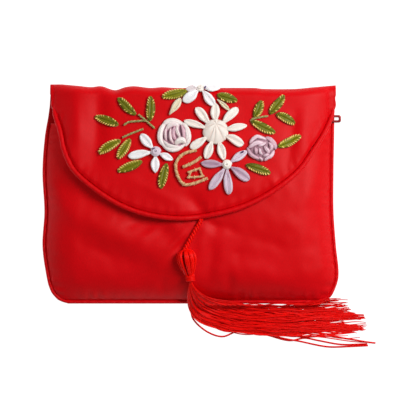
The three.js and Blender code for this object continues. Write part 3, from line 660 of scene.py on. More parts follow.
def weave_of(grid):
    """How far each point of a grid lies along and across the cloth."""
    across = np.linalg.norm(np.diff(grid, axis=1), axis=-1).cumsum(axis=1)
    across = np.concatenate([np.zeros((grid.shape[0], 1)), across], 1)
    across -= across[:, grid.shape[1] // 2][:, None]
    along = np.linalg.norm(np.diff(grid, axis=0), axis=-1).mean(axis=1).cumsum()
    along = np.concatenate([[0], along])
    return np.stack([across, np.broadcast_to(along[:, None], across.shape)], -1)


class Patches:
    """Collects closed patches of cloth or ribbon and makes one mesh of them."""

    def __init__(self):
        self.points, self.faces, self.weave, self.tint = [], [], [], []
        self.count = 0

    def add(self, points, faces, weave, tint):
        self.points.append(points)
        self.faces += (faces + self.count).tolist()
        self.weave.append(weave)
        self.tint.append(tint)
        self.count += len(points)

    def sheet(self, grid, under, tint=0.0):
        """A patch from a grid of points. under is its underside, or how thick the patch is."""
        if np.isscalar(under):
            under = grid - outwards(grid) * under
        points, faces = slab(grid, under)
        weave = weave_of(grid).reshape(-1, 2)
        tints = np.broadcast_to(np.asarray(tint, float), grid.shape[:2]).ravel()
        self.add(points, faces, np.concatenate([weave, weave]), np.concatenate([tints, tints]))

    def disc(self, tip, rings, tint):
        """A round patch without a seam: its tip, and rings that run round it on the way out."""
        rings = rings[:, ::-1]
        high, wide = rings.shape[:2]
        normal = outwards(np.concatenate([rings[:, -1:], rings, rings[:, :1]], 1))[:, 1:-1]
        under = rings - normal * RIBBON_THICKNESS
        tip_under = tip - normal[0].mean(axis=0) * RIBBON_THICKNESS
        index = np.arange(high * wide).reshape(high, wide) + 1
        after = np.roll(index, -1, axis=1)
        total = high * wide + 1
        quads = [
            np.stack([index[:-1], after[:-1], after[1:], index[1:]], -1),
            np.stack([index[:-1], index[1:], after[1:], after[:-1]], -1) + total,
            np.stack([index[-1:], after[-1:], after[-1:] + total, index[-1:] + total], -1),
        ]
        fan = np.stack([0 * index[0], after[0], index[0]], -1)
        fan_under = np.stack([0 * index[0], index[0], after[0]], -1) + total
        points = np.concatenate([[tip], rings.reshape(-1, 3), [tip_under], under.reshape(-1, 3)])
        self.faces += (np.concatenate([fan, fan_under]) + self.count).tolist()
        tints = np.broadcast_to(np.asarray(tint, float), (high, wide))[:, ::-1].ravel()
        tints = np.concatenate([[tints[:wide].mean()], tints])
        faces = np.concatenate([part.reshape(-1, 4) for part in quads])
        self.add(points, faces, points[:, :2], np.concatenate([tints, tints]))

    def make(self, name, material):
        points = np.concatenate(self.points) * MM
        mesh = bpy.data.meshes.new(name)
        mesh.from_pydata(points.tolist(), [], self.faces)
        corners = np.empty(len(mesh.loops), np.int32)
        mesh.loops.foreach_get("vertex_index", corners)
        weave = np.concatenate(self.weave)[corners]
        mesh.uv_layers.new(name="weave").data.foreach_set("uv", weave.ravel())
        tint = mesh.attributes.new("tint", "FLOAT", "POINT")
        tint.data.foreach_set("value", np.concatenate(self.tint))
        mesh.shade_smooth()
        mesh.materials.append(material)
        return add_object(name, mesh)


def add_object(name, mesh):
    made = bpy.data.objects.new(name, mesh)
    bpy.context.scene.collection.objects.link(made)
    return made


def join(name, objects):
    """Joins finished meshes into the first and gives it a name."""
    bpy.ops.object.select_all(action="DESELECT")
    for each in objects:
        each.select_set(True)
    bpy.context.view_layer.objects.active = objects[0]
    bpy.ops.object.join()
    objects[0].name = objects[0].data.name = name
    return objects[0]


def dress(piece, node):
    """The piece moves with the purse and stands for a solid of the frame."""
    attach(piece, "root")
    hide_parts(node)
    return piece


# Node trees


class Nodes:
    """Adds nodes to a tree. Every node comes from node(): its type, its sockets, its settings."""

    def __init__(self, tree):
        self.tree = tree

    def node(self, kind, inputs=None, **settings):
        made = self.tree.nodes.new(kind)
        for key, value in settings.items():
            if key == "stops":
                self.set_stops(made.color_ramp.elements, value)
            else:
                setattr(made, key, value)
        for key, value in (inputs or {}).items():
            self.feed(made.inputs[key], value)
        return made

    def feed(self, socket, value):
        if isinstance(value, Value):
            value = value.socket
        if isinstance(value, bpy.types.NodeSocket):
            self.tree.links.new(value, socket)
        else:
            socket.default_value = value

    def set_stops(self, elements, stops):
        while len(elements) < len(stops):
            elements.new(1.0)
        for element, (position, colour) in zip(elements, stops):
            element.position = position
            element.color = colour


class Value:
    """A number from a node. Maths on it adds Math nodes."""

    def __init__(self, nodes, socket):
        self.nodes = nodes
        self.socket = socket

    def maths(self, operation, first, second):
        made = self.nodes.node("ShaderNodeMath", {0: first, 1: second}, operation=operation)
        return Value(self.nodes, made.outputs[0])

    def __add__(self, other):
        return self.maths("ADD", self, other)

    def __radd__(self, other):
        return self.maths("ADD", other, self)

    def __sub__(self, other):
        return self.maths("SUBTRACT", self, other)

    def __rsub__(self, other):
        return self.maths("SUBTRACT", other, self)

    def __mul__(self, other):
        return self.maths("MULTIPLY", self, other)

    def __rmul__(self, other):
        return self.maths("MULTIPLY", other, self)


class Recipe(Nodes):
    """A Geometry Nodes tree with named inputs. run() gives its result as a plain mesh."""

    def __init__(self, name, inputs):
        super().__init__(bpy.data.node_groups.new(name, "GeometryNodeTree"))
        face = self.tree.interface
        face.new_socket("Geometry", in_out="INPUT", socket_type="NodeSocketGeometry")
        face.new_socket("Geometry", in_out="OUTPUT", socket_type="NodeSocketGeometry")
        self.sockets = {}
        for title, kind in inputs.items():
            made = face.new_socket(title, in_out="INPUT", socket_type="NodeSocket" + kind)
            self.sockets[title] = made.identifier
        self.start = self.node("NodeGroupInput").outputs
        self.end = self.node("NodeGroupOutput").inputs

    def named(self, name, kind):
        made = self.node("GeometryNodeInputNamedAttribute", {"Name": name}, data_type=kind)
        return made.outputs["Attribute"]

    def close(self, geometry):
        """Ends the tree: real meshes, smooth, with their material."""
        real = self.node("GeometryNodeRealizeInstances", {"Geometry": geometry})
        soft = self.node("GeometryNodeSetShadeSmooth", {"Geometry": real.outputs[0]})
        dressing = {"Geometry": soft.outputs[0], "Material": self.start["Material"]}
        self.feed(self.end[0], self.node("GeometryNodeSetMaterial", dressing).outputs[0])

    def run(self, name, mesh, **values):
        source = add_object(name + "_source", mesh)
        modifier = source.modifiers.new("recipe", "NODES")
        modifier.node_group = self.tree
        for title, value in values.items():
            modifier[self.sockets[title]] = value
        bpy.context.view_layer.update()
        seen = source.evaluated_get(bpy.context.evaluated_depsgraph_get())
        result = bpy.data.meshes.new_from_object(seen)
        source.modifiers.remove(modifier)
        bpy.data.objects.remove(source)
        result.name = name
        return add_object(name, result)


def thread_recipe():
    """Sweeps a round section along each line of edges, as thick as the line's points say."""
    recipe = Recipe("threads", {"Sides": "Int", "Material": "Material"})
    lines = recipe.node("GeometryNodeMeshToCurve", {"Mesh": recipe.start["Geometry"]})
    section = {"Resolution": recipe.start["Sides"], "Radius": 1.0}
    ring = recipe.node("GeometryNodeCurvePrimitiveCircle", section)
    sweep = {
        "Curve": lines.outputs[0],
        "Profile Curve": ring.outputs[0],
        "Scale": recipe.named("thick", "FLOAT"),
        "Fill Caps": True,
    }
    swept = recipe.node("GeometryNodeCurveToMesh", sweep)
    recipe.close(swept.outputs[0])
    return recipe


def stitch_recipe():
    """Puts a spindle on each point, turned along its aim and away from the cloth."""
    recipe = Recipe("stitches", {"Sides": "Int", "Rings": "Int", "Material": "Material"})
    form = {"Segments": recipe.start["Sides"], "Rings": recipe.start["Rings"], "Radius": 0.5}
    spindle = recipe.node("GeometryNodeMeshUVSphere", form)
    along = {"Vector": recipe.named("aim", "FLOAT_VECTOR")}
    aimed = recipe.node("FunctionNodeAlignRotationToVector", along, axis="X")
    upright = {"Rotation": aimed.outputs[0], "Vector": recipe.named("up", "FLOAT_VECTOR")}
    lifted = recipe.node("FunctionNodeAlignRotationToVector", upright, axis="Z", pivot_axis="X")
    laying = {
        "Points": recipe.start["Geometry"],
        "Instance": spindle.outputs[0],
        "Rotation": lifted.outputs[0],
        "Scale": recipe.named("size", "FLOAT_VECTOR"),
    }
    laid = recipe.node("GeometryNodeInstanceOnPoints", laying)
    recipe.close(laid.outputs[0])
    return recipe


threads_tree = thread_recipe()
stitches_tree = stitch_recipe()


def set_attribute(mesh, name, kind, values):
    made = mesh.attributes.new(name, kind, "POINT")
    field = "vector" if kind == "FLOAT_VECTOR" else "value"
    made.data.foreach_set(field, np.asarray(values, float).ravel())


def threads(name, paths, thick, tints, material, sides=6):
    """Threads along paths. thick is one radius, or the radius or radii of each path."""
    edges, start, radii, tint = [], 0, [], []
    for k, path in enumerate(paths):
        count = len(path)
        edges += [(start + i, start + i + 1) for i in range(count - 1)]
        start += count
        radii.append(np.broadcast_to(thick if np.isscalar(thick) else thick[k], (count,)))
        tint.append(np.full(count, tints if np.isscalar(tints) else tints[k]))
    mesh = bpy.data.meshes.new(name)
    mesh.from_pydata((np.concatenate(paths) * MM).tolist(), edges, [])
    set_attribute(mesh, "thick", "FLOAT", np.concatenate(radii) * MM)
    set_attribute(mesh, "tint", "FLOAT", np.concatenate(tint))
    return threads_tree.run(name, mesh, Sides=sides, Material=material)


def stitches(name, spots, material, sides=6, rings=5):
    """Short raised stitches. spots are (place, aim, up, (long, wide, high), tint)."""
    mesh = bpy.data.meshes.new(name)
    mesh.from_pydata((np.array([s[0] for s in spots]) * MM).tolist(), [], [])
    set_attribute(mesh, "aim", "FLOAT_VECTOR", [s[1] for s in spots])
    set_attribute(mesh, "up", "FLOAT_VECTOR", [s[2] for s in spots])
    set_attribute(mesh, "size", "FLOAT_VECTOR", np.array([s[3] for s in spots]) * MM)
    set_attribute(mesh, "tint", "FLOAT", [s[4] for s in spots])
    return stitches_tree.run(name, mesh, Sides=sides, Rings=rings, Material=material)


def twisted(path, offset, pitch, plies, phase=0.0, per_turn=10):
    """The lines of some plies that wind round a path at an offset from it."""
    route = Route(path, 8)
    count = max(int(route.length / pitch * per_turn), 6)
    share = np.linspace(0, 1, count + 1)
    centre = route.at(share)
    way = route.ahead(share)
    side = np.cross(way, UP)
    side /= np.linalg.norm(side, axis=-1, keepdims=True)
    up = np.cross(side, way)
    lines = []
    for k in range(plies):
        angle = FULL_TURN * (share * route.length / pitch + k / plies) + phase
        lines.append(centre + offset * (np.cos(angle)[:, None] * side + np.sin(angle)[:, None] * up))
    return lines


# Finishes


class Finish(Nodes):
    """A material and the nodes that feed its shader. constants are the shader's own sockets."""

    def __init__(self, name, constants):
        self.material = bpy.data.materials.new(name)
        self.material.use_nodes = True
        super().__init__(self.material.node_tree)
        self.shader = self.tree.nodes["Principled BSDF"]
        for socket, value in constants.items():
            self.shader.inputs[socket].default_value = value

    def place(self):
        return self.node("ShaderNodeTexCoord").outputs["Object"]

    def cloth_place(self):
        return self.node("ShaderNodeUVMap", uv_map="weave").outputs[0]

    def tint(self):
        made = self.node("ShaderNodeAttribute", attribute_name="tint")
        return Value(self, made.outputs["Fac"])

    def stretched(self, place, scale):
        return self.node("ShaderNodeMapping", {"Vector": place, "Scale": scale}).outputs[0]

    def noise(self, place, scale, detail, roughness=0.5):
        inputs = {"Vector": place, "Scale": scale, "Detail": detail, "Roughness": roughness}
        return Value(self, self.node("ShaderNodeTexNoise", inputs).outputs[0])

    def bands(self, place, scale, direction="X", distortion=0.0):
        inputs = {"Vector": place, "Scale": scale, "Distortion": distortion, "Detail": 1.0}
        made = self.node("ShaderNodeTexWave", inputs, bands_direction=direction)
        return Value(self, made.outputs["Fac"])

    def mix(self, share, first, second):
        inputs = {"Factor": share, "A": first, "B": second}
        return self.node("ShaderNodeMix", inputs, data_type="RGBA").outputs[2]

    def finish(self, colour, roughness=None, relief=None):
        """Feeds the shader. relief is the height, the distance and the strength of its bump."""
        self.feed(self.shader.inputs["Base Color"], colour)
        if roughness is not None:
            self.feed(self.shader.inputs["Roughness"], roughness)
        if relief is not None:
            bump = self.node("ShaderNodeBump", dict(zip(("Height", "Distance", "Strength"), relief)))
            self.feed(self.shader.inputs["Normal"], bump.outputs[0])
        return self.material


def red_satin(name, on_cloth=True):
    """Red satin: a close warp that runs up the purse, soft slubs and little shine."""
    look = Finish(name, {"Specular IOR Level": 0.12})
    place = look.cloth_place() if on_cloth else look.stretched(look.place(), (1000, 1000, 1000))
    warp = look.bands(place, 1.3)
    weft = look.bands(place, 1.0, "Y")
    slub = look.noise(look.stretched(place, (3.0, 0.6, 1)), 1.0, 3.0)
    swell = look.noise(place, 0.12, 2.0)
    tone = look.noise(place, 0.035, 1.0)
    fine = look.noise(look.stretched(place, (2.2, 1.1, 1)), 1.0, 4.0, 0.7)
    colour = look.mix(tone, srgb(211, 0, 3), srgb(227, 0, 16))
    colour = look.mix((slub - 0.35) * 0.5 + (fine - 0.4) * 0.7, colour, srgb(172, 0, 6))
    roughness = 0.44 + slub * 0.1
    height = warp * 0.1 + weft * 0.05 + slub * 0.35 + swell * 1.2
    return look.finish(colour, roughness, (height, 0.0002, 0.35))


def rayon(name):
    """Red rayon thread, each strand a little lighter or darker than the next, with painted light through
    the tassel's head.
    """
    look = Finish(name, {"Specular IOR Level": 0.12})
    fine = look.noise(look.place(), 900.0, 2.0)
    colour = look.mix(look.tint(), srgb(214, 0, 0), srgb(255, 16, 6))
    return look.finish(colour, 0.3 + fine * 0.2, (fine, 0.0001, 0.3))


def ribbon(name, light, dark, middle=None):
    """Embroidery ribbon: fine threads along it, lighter or darker as its tint says, which carries painted
    shade and painted highlights.
    """
    look = Finish(
        name,
        {
            "Specular IOR Level": 0.4,
            "Sheen Weight": 0.25,
            "Sheen Roughness": 0.35,
            "Subsurface Weight": 0.12,
            "Subsurface Radius": (0.001, 0.0008, 0.0007),
            "Subsurface Scale": 0.5,
        },
    )
    place = look.cloth_place()
    lines = look.bands(look.stretched(place, (1.0, 0.05, 1)), 1.0, "X", 1.5)
    cloud = look.noise(place, 0.5, 2.0)
    share = look.tint() * 0.8 + (cloud - 0.5) * 0.25 + (lines - 0.5) * 0.12
    if middle is None:
        colour = look.mix(share, light, dark)
    else:
        stops = [(0.0, light), (0.38, middle), (0.85, dark)]
        colour = look.node("ShaderNodeValToRGB", {"Fac": share}, stops=stops).outputs["Color"]
    return look.finish(colour, 0.38 + lines * 0.1, (lines, 0.00006, 0.5))


def embroidery_thread(name, light, dark):
    """Embroidery thread: the higher its tint, the lighter."""
    look = Finish(name, {"Specular IOR Level": 0.28, "Sheen Weight": 0.05, "Sheen Roughness": 0.4})
    fine = look.noise(look.place(), 1500.0, 2.0)
    share = look.tint() * 0.8 + fine * 0.3
    return look.finish(look.mix(share, dark, light), 0.4 + fine * 0.15, (fine, 0.0001, 0.4))


def lacquer(name):
    """Dark red lacquer on metal, a little worn."""
    look = Finish(name, {"Metallic": 0.5, "Coat Weight": 0.4, "Coat Roughness": 0.15})
    wear = look.noise(look.place(), 700.0, 3.0)
    colour = look.mix(wear, srgb(120, 10, 14), srgb(165, 28, 28))
    return look.finish(colour, 0.3 + wear * 0.2, (wear, 0.0001, 0.2))


def studio_paper():
    """White paper that is lit from behind, so that it shows no shadow."""
    look = Finish(
        "studio_paper",
        {
            "Roughness": 0.9,
            "Specular IOR Level": 0.0,
            "Emission Color": (1, 1, 1, 1),
            "Emission Strength": PAPER_GLOW,
        },
    )
    grain = look.noise(look.place(), 60.0, 2.0)
    return look.finish(look.mix(grain, srgb(120, 120, 120), srgb(130, 130, 130)))


SATIN = red_satin("red_satin")
SATIN_PIPING = red_satin("red_satin_piping", on_cloth=False)
RAYON = rayon("red_rayon")
CREAM_RIBBON = ribbon("cream_ribbon", srgb(255, 249, 240), srgb(222, 190, 174))
WHITE_RIBBON = ribbon("white_ribbon", srgb(255, 254, 255), srgb(222, 204, 206))
LILAC_RIBBON = ribbon("lilac_ribbon", srgb(240, 226, 238), srgb(158, 112, 140))
ROSE_RIBBON = ribbon("cream_rose_ribbon", srgb(255, 248, 240), srgb(92, 40, 68), srgb(218, 166, 184))
LILAC_ROSE_RIBBON = ribbon("lilac_rose_ribbon", srgb(250, 226, 234), srgb(72, 28, 52), srgb(206, 156, 172))
BUD_RIBBON = ribbon("pistachio_ribbon", srgb(248, 232, 212), srgb(188, 182, 118))
LEAF_THREAD = embroidery_thread("leaf_thread", srgb(156, 154, 12), srgb(46, 54, 0))
BEAD_THREAD = embroidery_thread("bead_thread", srgb(248, 220, 124), srgb(204, 158, 76))
STEM_THREAD = embroidery_thread("stem_thread", srgb(190, 176, 120), srgb(110, 122, 50))
GOLD_THREAD = embroidery_thread("gold_thread", srgb(244, 204, 152), srgb(150, 98, 56))
DARK_THREAD = embroidery_thread("dark_thread", srgb(120, 84, 130), srgb(62, 34, 72))
LACQUER = lacquer("red_lacquer")


# The cloth

# How far in from the pocket's edge the first lines of the front's mesh run
RIM_LINES = [0, 0.12, 0.3, 0.5, 0.75, 1.0, 1.2, 1.35, 1.5, 1.65, 1.85, 2.1, 2.5, 3.0]

# The flap's edge, row by row on the way out: out and drop where it is a plain hem, then the same
# where it goes under the piping
HEM = [(0.15, 0.2, 0.2, 0.9), (0.27, 0.5, 0.5, 1.15), (0.33, 0.9, 0.9, 1.3)]

# Where the sewn line beside the flap's right edge runs
HEM_X = 56.0

# The seam: its round edge, its groove, the round edge of the back, and the lengths of the waves
# in which the cloth puckers beside the seam, on its rim and along the flap's piping
WELT_RADIUS = 0.8
GROOVE_DEPTH = 0.55
GROOVE_WIDTH = 0.3
BACK_RADIUS = 0.6
SEAM_WAVE = 4.3
RIM_WAVE = 3.1
PIPING_WAVE = 5.1


def round_edge(distance, reach):
    """One at the very edge and nought from reach on, on a quarter of a circle."""
    return 1 - np.sqrt(1 - (1 - np.clip(distance / reach, 0, 1)) ** 2)


def welt(distance):
    """The round edge outside the seam line, and the groove at the line."""
    groove = GROOVE_DEPTH * bell((distance - SEAM_WIDTH - 0.05) / GROOVE_WIDTH)
    return -round_edge(distance, WELT_RADIUS) - groove


def front_face(x, y):
    """The front of the pocket with its seam, its puckers and its creases."""
    side = side_distance(x, y)
    slope = (side_distance(x, y + 1) - side_distance(x, y - 1)) / 2
    in_side = side / np.sqrt(1 + slope * slope)
    in_bottom = y - BOTTOM
    edge = np.minimum(in_side, in_bottom)
    inner = smooth(edge, SEAM_WIDTH, 10)
    around = np.where(in_side < in_bottom, y, x)
    pucker = np.cos(FULL_TURN * around / SEAM_WAVE + 1.6 * swell_along(around, 17, 11))
    near = smooth(edge, SEAM_WIDTH, SEAM_WIDTH + 1) * bell(np.maximum(edge - SEAM_WIDTH, 0) / 3.5)
    rim = 1 - smooth(edge, SEAM_WIDTH - 0.3, SEAM_WIDTH)
    pinch = 0.12 * rim * np.cos(FULL_TURN * around / RIM_WAVE + 2 * swell_along(around, 13, 4))
    slack = 0.25 * ripple(x, y, 26, 8) + 0.07 * ripple(x, y, 9, 21) + creases(x, y, FRONT_CREASES)
    strength = 0.21 + 0.12 * swell_along(around, 24, 3)
    return pouch_top(x, y) + welt(edge) + strength * near * pucker + pinch + slack * inner


def front_panel():
    """The puffed front of the pocket, up to the mouth."""
    across_steps = 70
    up_steps = 95
    rest = (np.arange(1, across_steps + 1) / across_steps) ** 1.25
    inner = RIM_LINES[-1]
    ups = BOTTOM + np.concatenate(
        [RIM_LINES, inner + (MOUTH - BOTTOM - inner) * (np.arange(1, up_steps + 1) / up_steps) ** 1.15]
    )
    rows = []
    for y in ups:
        left, right = pouch_side(y, "left"), pouch_side(y, "right")
        half = (left + right) / 2
        inwards = np.concatenate([RIM_LINES, inner + (half - inner) * rest])
        x = np.concatenate([inwards - left, (right - inwards)[-2::-1]])
        rows.append(np.stack([x, np.full_like(x, y), front_face(x, np.full_like(x, y))], -1))
    face = np.stack(rows)
    under = face.copy()
    under[..., 2] = np.maximum(face[..., 2] - CLOTH, CLOTH + GAP)
    cloth = Patches()
    cloth.sheet(face, under)
    piece = dress(cloth.make("satin_front", SATIN), "front_panel")


def hem_line(x, y):
    """The sewn line beside the flap's right edge, from the fold to where the piping comes out."""
    return 0.7 * bell((x - HEM_X) / 0.4) * smooth(y, 31, 34)


def piped(share):
    """How far the piping has come out from under the flap's sides: nought at the fold."""
    around = np.minimum(share, 1 - share) * flap_edge.length
    return smooth(around, 2, 9)


def back_and_flap():
    """One cloth from the bottom of the back, over the fold and down to the flap's hem."""
    columns = 170
    back_steps = 34
    turn_steps = 22
    flap_steps = 105
    share = 1 - np.arange(columns + 1) / columns
    fold_x = blend(-pouch_side(TOP, "left"), pouch_side(TOP, "right"), share)
    rows, under = [], []

    def add_row(x, y, z, inner_z):
        rows.append(np.stack([x, y, z], -1))
        under.append(np.stack([x, y, inner_z], -1))

    for j in range(back_steps):
        y = blend(BOTTOM, turn_start(fold_x), (j / back_steps) ** 2)
        x = blend(-pouch_side(y, "left"), pouch_side(y, "right"), share)
        edge = np.minimum(side_distance(x, y), y - BOTTOM)
        add_row(x, y, 0.5 * round_edge(edge, BACK_RADIUS), np.full_like(x, CLOTH))
    for j in range(turn_steps + 1):
        angle = math.pi * (1 - j / turn_steps)
        out = np.array([0.0, math.sin(angle), math.cos(angle)])
        line = hem_line(fold_x, TOP) * max(out[2], 0)
        rows.append(on_turn(fold_x, angle) - line[:, None] * out)
        under.append(on_turn(fold_x, angle) - CLOTH * out)
    full = piped(share)
    inset = (2 * PIPE_RADIUS + GAP) * full
    edge = edge_point(share, inset)
    start = np.stack([fold_x, turn_start(fold_x)], -1)
    away = np.linalg.norm(edge - start, axis=-1)
    around = share * flap_edge.length
    for j in range(1, flap_steps + 1):
        on = (j / flap_steps) ** 0.9
        at = blend(start, edge, on)
        left = away * (1 - on)
        top = flap_top(at[:, 0], at[:, 1])
        pucker = np.cos(FULL_TURN * around / PIPING_WAVE + 1.8 * swell_along(around, 19, 31))
        sewn = full * (0.16 * pucker * bell(left / 3.5) - 0.5 * bell(left / 0.9))
        z = top + sewn - hem_line(at[:, 0], at[:, 1])
        add_row(at[:, 0], at[:, 1], z, top - CLOTH)
    clear = smooth(np.minimum(around, flap_edge.length - around), 0, 3)
    for plain_out, plain_drop, out, drop in HEM:
        at = edge_point(share, inset - blend(plain_out, out, full) * clear)
        top = flap_top(at[:, 0], at[:, 1])
        down = blend(plain_drop, drop, full) * blend(0.25, 1, clear)
        add_row(at[:, 0], at[:, 1], top - down, top - CLOTH)
    cloth = Patches()
    cloth.sheet(np.stack(rows), np.stack(under))
    piece = dress(cloth.make("satin_back_and_flap", SATIN), "back_and_flap")


def flap_piping():
    """The corded edge round the flap, thinner where it goes under the cloth at the fold."""
    stations = 420
    start = PIPE_INSET / flap_edge.length
    share = np.linspace(start, 1 - start, stations)
    at = edge_point(share, PIPE_RADIUS)
    out = piped(share)
    z = pouch_top(at[:, 0], at[:, 1]) + AIR + PIPE_RADIUS * blend(0.7, 1, out)
    around = share * flap_edge.length
    uneven = 0.03 * np.sin(FULL_TURN * around / 3.3) + 0.03 * swell_along(around, 8, 2)
    thick = PIPE_RADIUS * blend(0.45, 1, out) * (1 + uneven)
    made = threads("satin_piping", [raised(at, z)], [thick], 0.5, SATIN_PIPING, sides=20)
    dress(made, "flap_piping")


# Embroidery


def all_round(count):
    return FULL_TURN * np.arange(count) / count


def laid(x, y, turn, along, across, height):
    """A grid in a stitch's own directions, put on the flap at its place."""
    angle = math.radians(turn)
    px = x + along * math.cos(angle) + across * math.sin(angle)
    py = y + along * math.sin(angle) - across * math.cos(angle)
    return over_flap(px, py, height)


def petal(patches, x, y, turn, start, end, width, tone, corner, blunt, seed):
    """A stitch of ribbon: gathered at its foot, cupped in its middle, tucked in at its tip."""
    rng = np.random.default_rng(seed)
    s = np.linspace(0, 1, PETAL_GRID[0])[:, None]
    t = np.linspace(-1, 1, PETAL_GRID[1])[None, :]

    def side(full):
        opening = np.sin(math.pi / 2 * np.clip(s / full, 0, 1)) ** 1.5
        closing = (1 - np.clip((s - full) / (1 - full), 0, 1) ** blunt) ** 0.62
        return (0.14 + 0.86 * opening) * np.maximum(closing, 0.1)

    left = side(rng.uniform(0.5, 0.62) - 0.27 * min(corner, 0) - 0.08 * max(corner, 0))
    right = side(rng.uniform(0.5, 0.62) + 0.27 * max(corner, 0) + 0.08 * min(corner, 0))
    half = width / 2 * np.where(t < 0, left, right)
    lean = rng.uniform(-0.12, 0.12) * width
    across = t * half + lean * s * s
    along = start + (end - start) * s + 0.05 * width * np.sin(3 * t + seed)
    arch = 0.32 + 0.68 * np.sin(math.pi * s ** 0.85) ** 0.6
    cup = rng.uniform(0.3, 0.5) * bell((t - rng.uniform(-0.15, 0.15)) / 0.5) * smooth(s, 0.1, 0.45)
    first, second = rng.uniform(-0.45, -0.1), rng.uniform(0.1, 0.45)
    gathers = 0.3 * (1 - s) ** 1.2 * (bell((t - first) / 0.13) + bell((t - second) / 0.13))
    ruffle = 0.07 * np.sin(9 * s + seed) * t ** 3
    height = PETAL_RELIEF * arch * (1 - cup - gathers + ruffle - 0.5 * np.abs(t) ** 7) + 0.12
    grid = laid(x, y, turn, along, across, GAP + height)
    # Painted shade down the cupped middle and at the gathered foot, a painted highlight on the rims, and
    # streaks along the ribbon
    streaks_and_fold_shade = 0.06 * np.sin(11 * t + seed)
    tint = tone + 0.2 * bell(t / 0.45) - 0.1 * smooth(np.abs(t), 0.7, 0.9) + 0.2 * (1 - s) ** 3 + streaks_and_fold_shade
    patches.sheet(grid[:, ::-1], RIBBON_THICKNESS, np.clip(tint, 0, 1)[:, ::-1])


def wound_knot(name, x, y, radius, relief, material, tint):
    """A knot: thread wound in a few turns that climb to the middle."""
    t = np.linspace(0, 1, 60)
    thick = radius * 0.36
    angle = FULL_TURN * 2.6 * t
    out = (radius - thick) * np.cos(t * math.pi / 2) ** 0.8
    high = GAP + thick + (relief - thick) * np.sin(t * math.pi / 2)
    path = over_flap(x + out * np.cos(angle), y + out * np.sin(angle), high)
    radii = thick * (1 - 0.25 * t)
    return threads(name, [path], [radii], tint, material, sides=8)


def daisy_middle(patches, x, y, radius, relief):
    """The cream daisy's puffed middle: ribbon in soft pleats that run together at its upper edge."""
    angle = all_round(DAISY_POINTS)
    saw = np.zeros_like(angle)
    for k, at in enumerate(PLEATS):
        span = (PLEATS[(k + 1) % len(PLEATS)] - at) % FULL_TURN
        on = ((angle - at) % FULL_TURN) / span
        saw = np.where(on < 1, np.sin(math.pi * on ** 0.6), saw)

    def ring(out):
        fall = math.sqrt(max(1 - (out * 0.94) ** 2, 0))
        lean = 0.6 * radius * (1 - out)
        bulge = 0.17 * saw * math.sin(math.pi * min(out * 1.05, 1)) ** 0.7
        reach = radius * out * (1 + 0.05 * saw)
        high = GAP + 0.1 + relief * (fall + bulge)
        return over_flap(x + reach * np.cos(angle), y + lean + reach * np.sin(angle), high)

    rings = np.stack([ring(out) for out in np.linspace(0.05, 1, 16)])
    # Painted shade: the ribbon is darker in the grooves between the pleats
    patches.disc(ring(0.0)[0], rings, 0.36 + 0.55 * (1 - saw) ** 2)


def flower(name, spec, material, knot):
    """Petals round a middle. knot is "pleated", or the material and the tint of a wound knot."""
    patches = Patches()
    x, y = flap_x(spec["x"]), flap_y(spec["down"])
    inner = spec["knot"] * DAISY_RADIUS
    for k, (turn, tip, wide, tone, corner, blunt) in enumerate(spec["petals"]):
        petal(
            patches, x, y, turn, inner * 0.75, tip * DAISY_RADIUS, PETAL_WIDTH * 0.9 * wide,
            tone, corner, blunt, seed=100 * len(name) + k,
        )
    if knot == "pleated":
        daisy_middle(patches, x, y, inner, PETAL_RELIEF * 1.4)
        dress(patches.make(name + "_ribbon", material), name)
        return
    made = [patches.make(name + "_petals", material)]
    made.append(wound_knot(name + "_knot", x, y, inner * 1.05, PETAL_RELIEF * 1.35, *knot))
    spots = []
    for px, py, turn in EYES[name]:
        place = over_flap(px, py, GAP + PETAL_RELIEF * 1.5)
        aim = (math.cos(math.radians(turn)), math.sin(math.radians(turn)), 0)
        spots.append((place, aim, (0, 0, 1), EYE_SIZE, 0.5))
    made.append(stitches(name + "_eyes", spots, DARK_THREAD, 8, 6))
    dress(join(name + "_ribbon", made), name)


def band(patches, x, y, row, seed):
    """A puffed band of ribbon in a rose, tucked in at both ends. Its edges, its folds and its tucked ends
    are painted darker as shade.
    """
    points, wide, high, tone, left, right = row
    rng = np.random.default_rng(seed)
    route = Route(points)
    s = np.linspace(0, 1, BAND_GRID[0])
    t = np.linspace(1, -1, BAND_GRID[1])[None, :]
    way = route.ahead(s)
    side = np.stack([-way[:, 1], way[:, 0]], -1)[:, None]
    tucked = np.sin(math.pi * np.clip(s, 0.015, 0.985))[:, None]
    spread = t * wide / 2 * tucked ** 0.35 + 0.06 * wide * np.sin(7 * s + seed)[:, None]
    at = route.at(s)[:, None] + side * spread[..., None]
    arch = np.sqrt(1 - (0.97 * t) ** 2) * (0.3 + 0.7 * tucked ** 0.6)
    first, second = rng.uniform(-0.5, -0.1), rng.uniform(0.1, 0.5)
    folds = 0.1 * bell((t - first) / 0.14) + 0.14 * bell((t - second) / 0.12)
    grid = over_flap(x + at[..., 0], y + at[..., 1], GAP + 0.2 + high * (arch - folds * tucked))
    # Painted shade: the edges, the folds and the tucked ends of the band are darker
    shade = left * smooth(t, 0.35, 1) + right * smooth(-t, 0.35, 1)
    streaks_and_fold_shade = 0.5 * folds + 0.15 * (1 - tucked) ** 2 + 0.05 * np.sin(9 * t + seed)
    patches.sheet(grid, RIBBON_THICKNESS, np.clip(tone + shade + streaks_and_fold_shade, 0, 1))


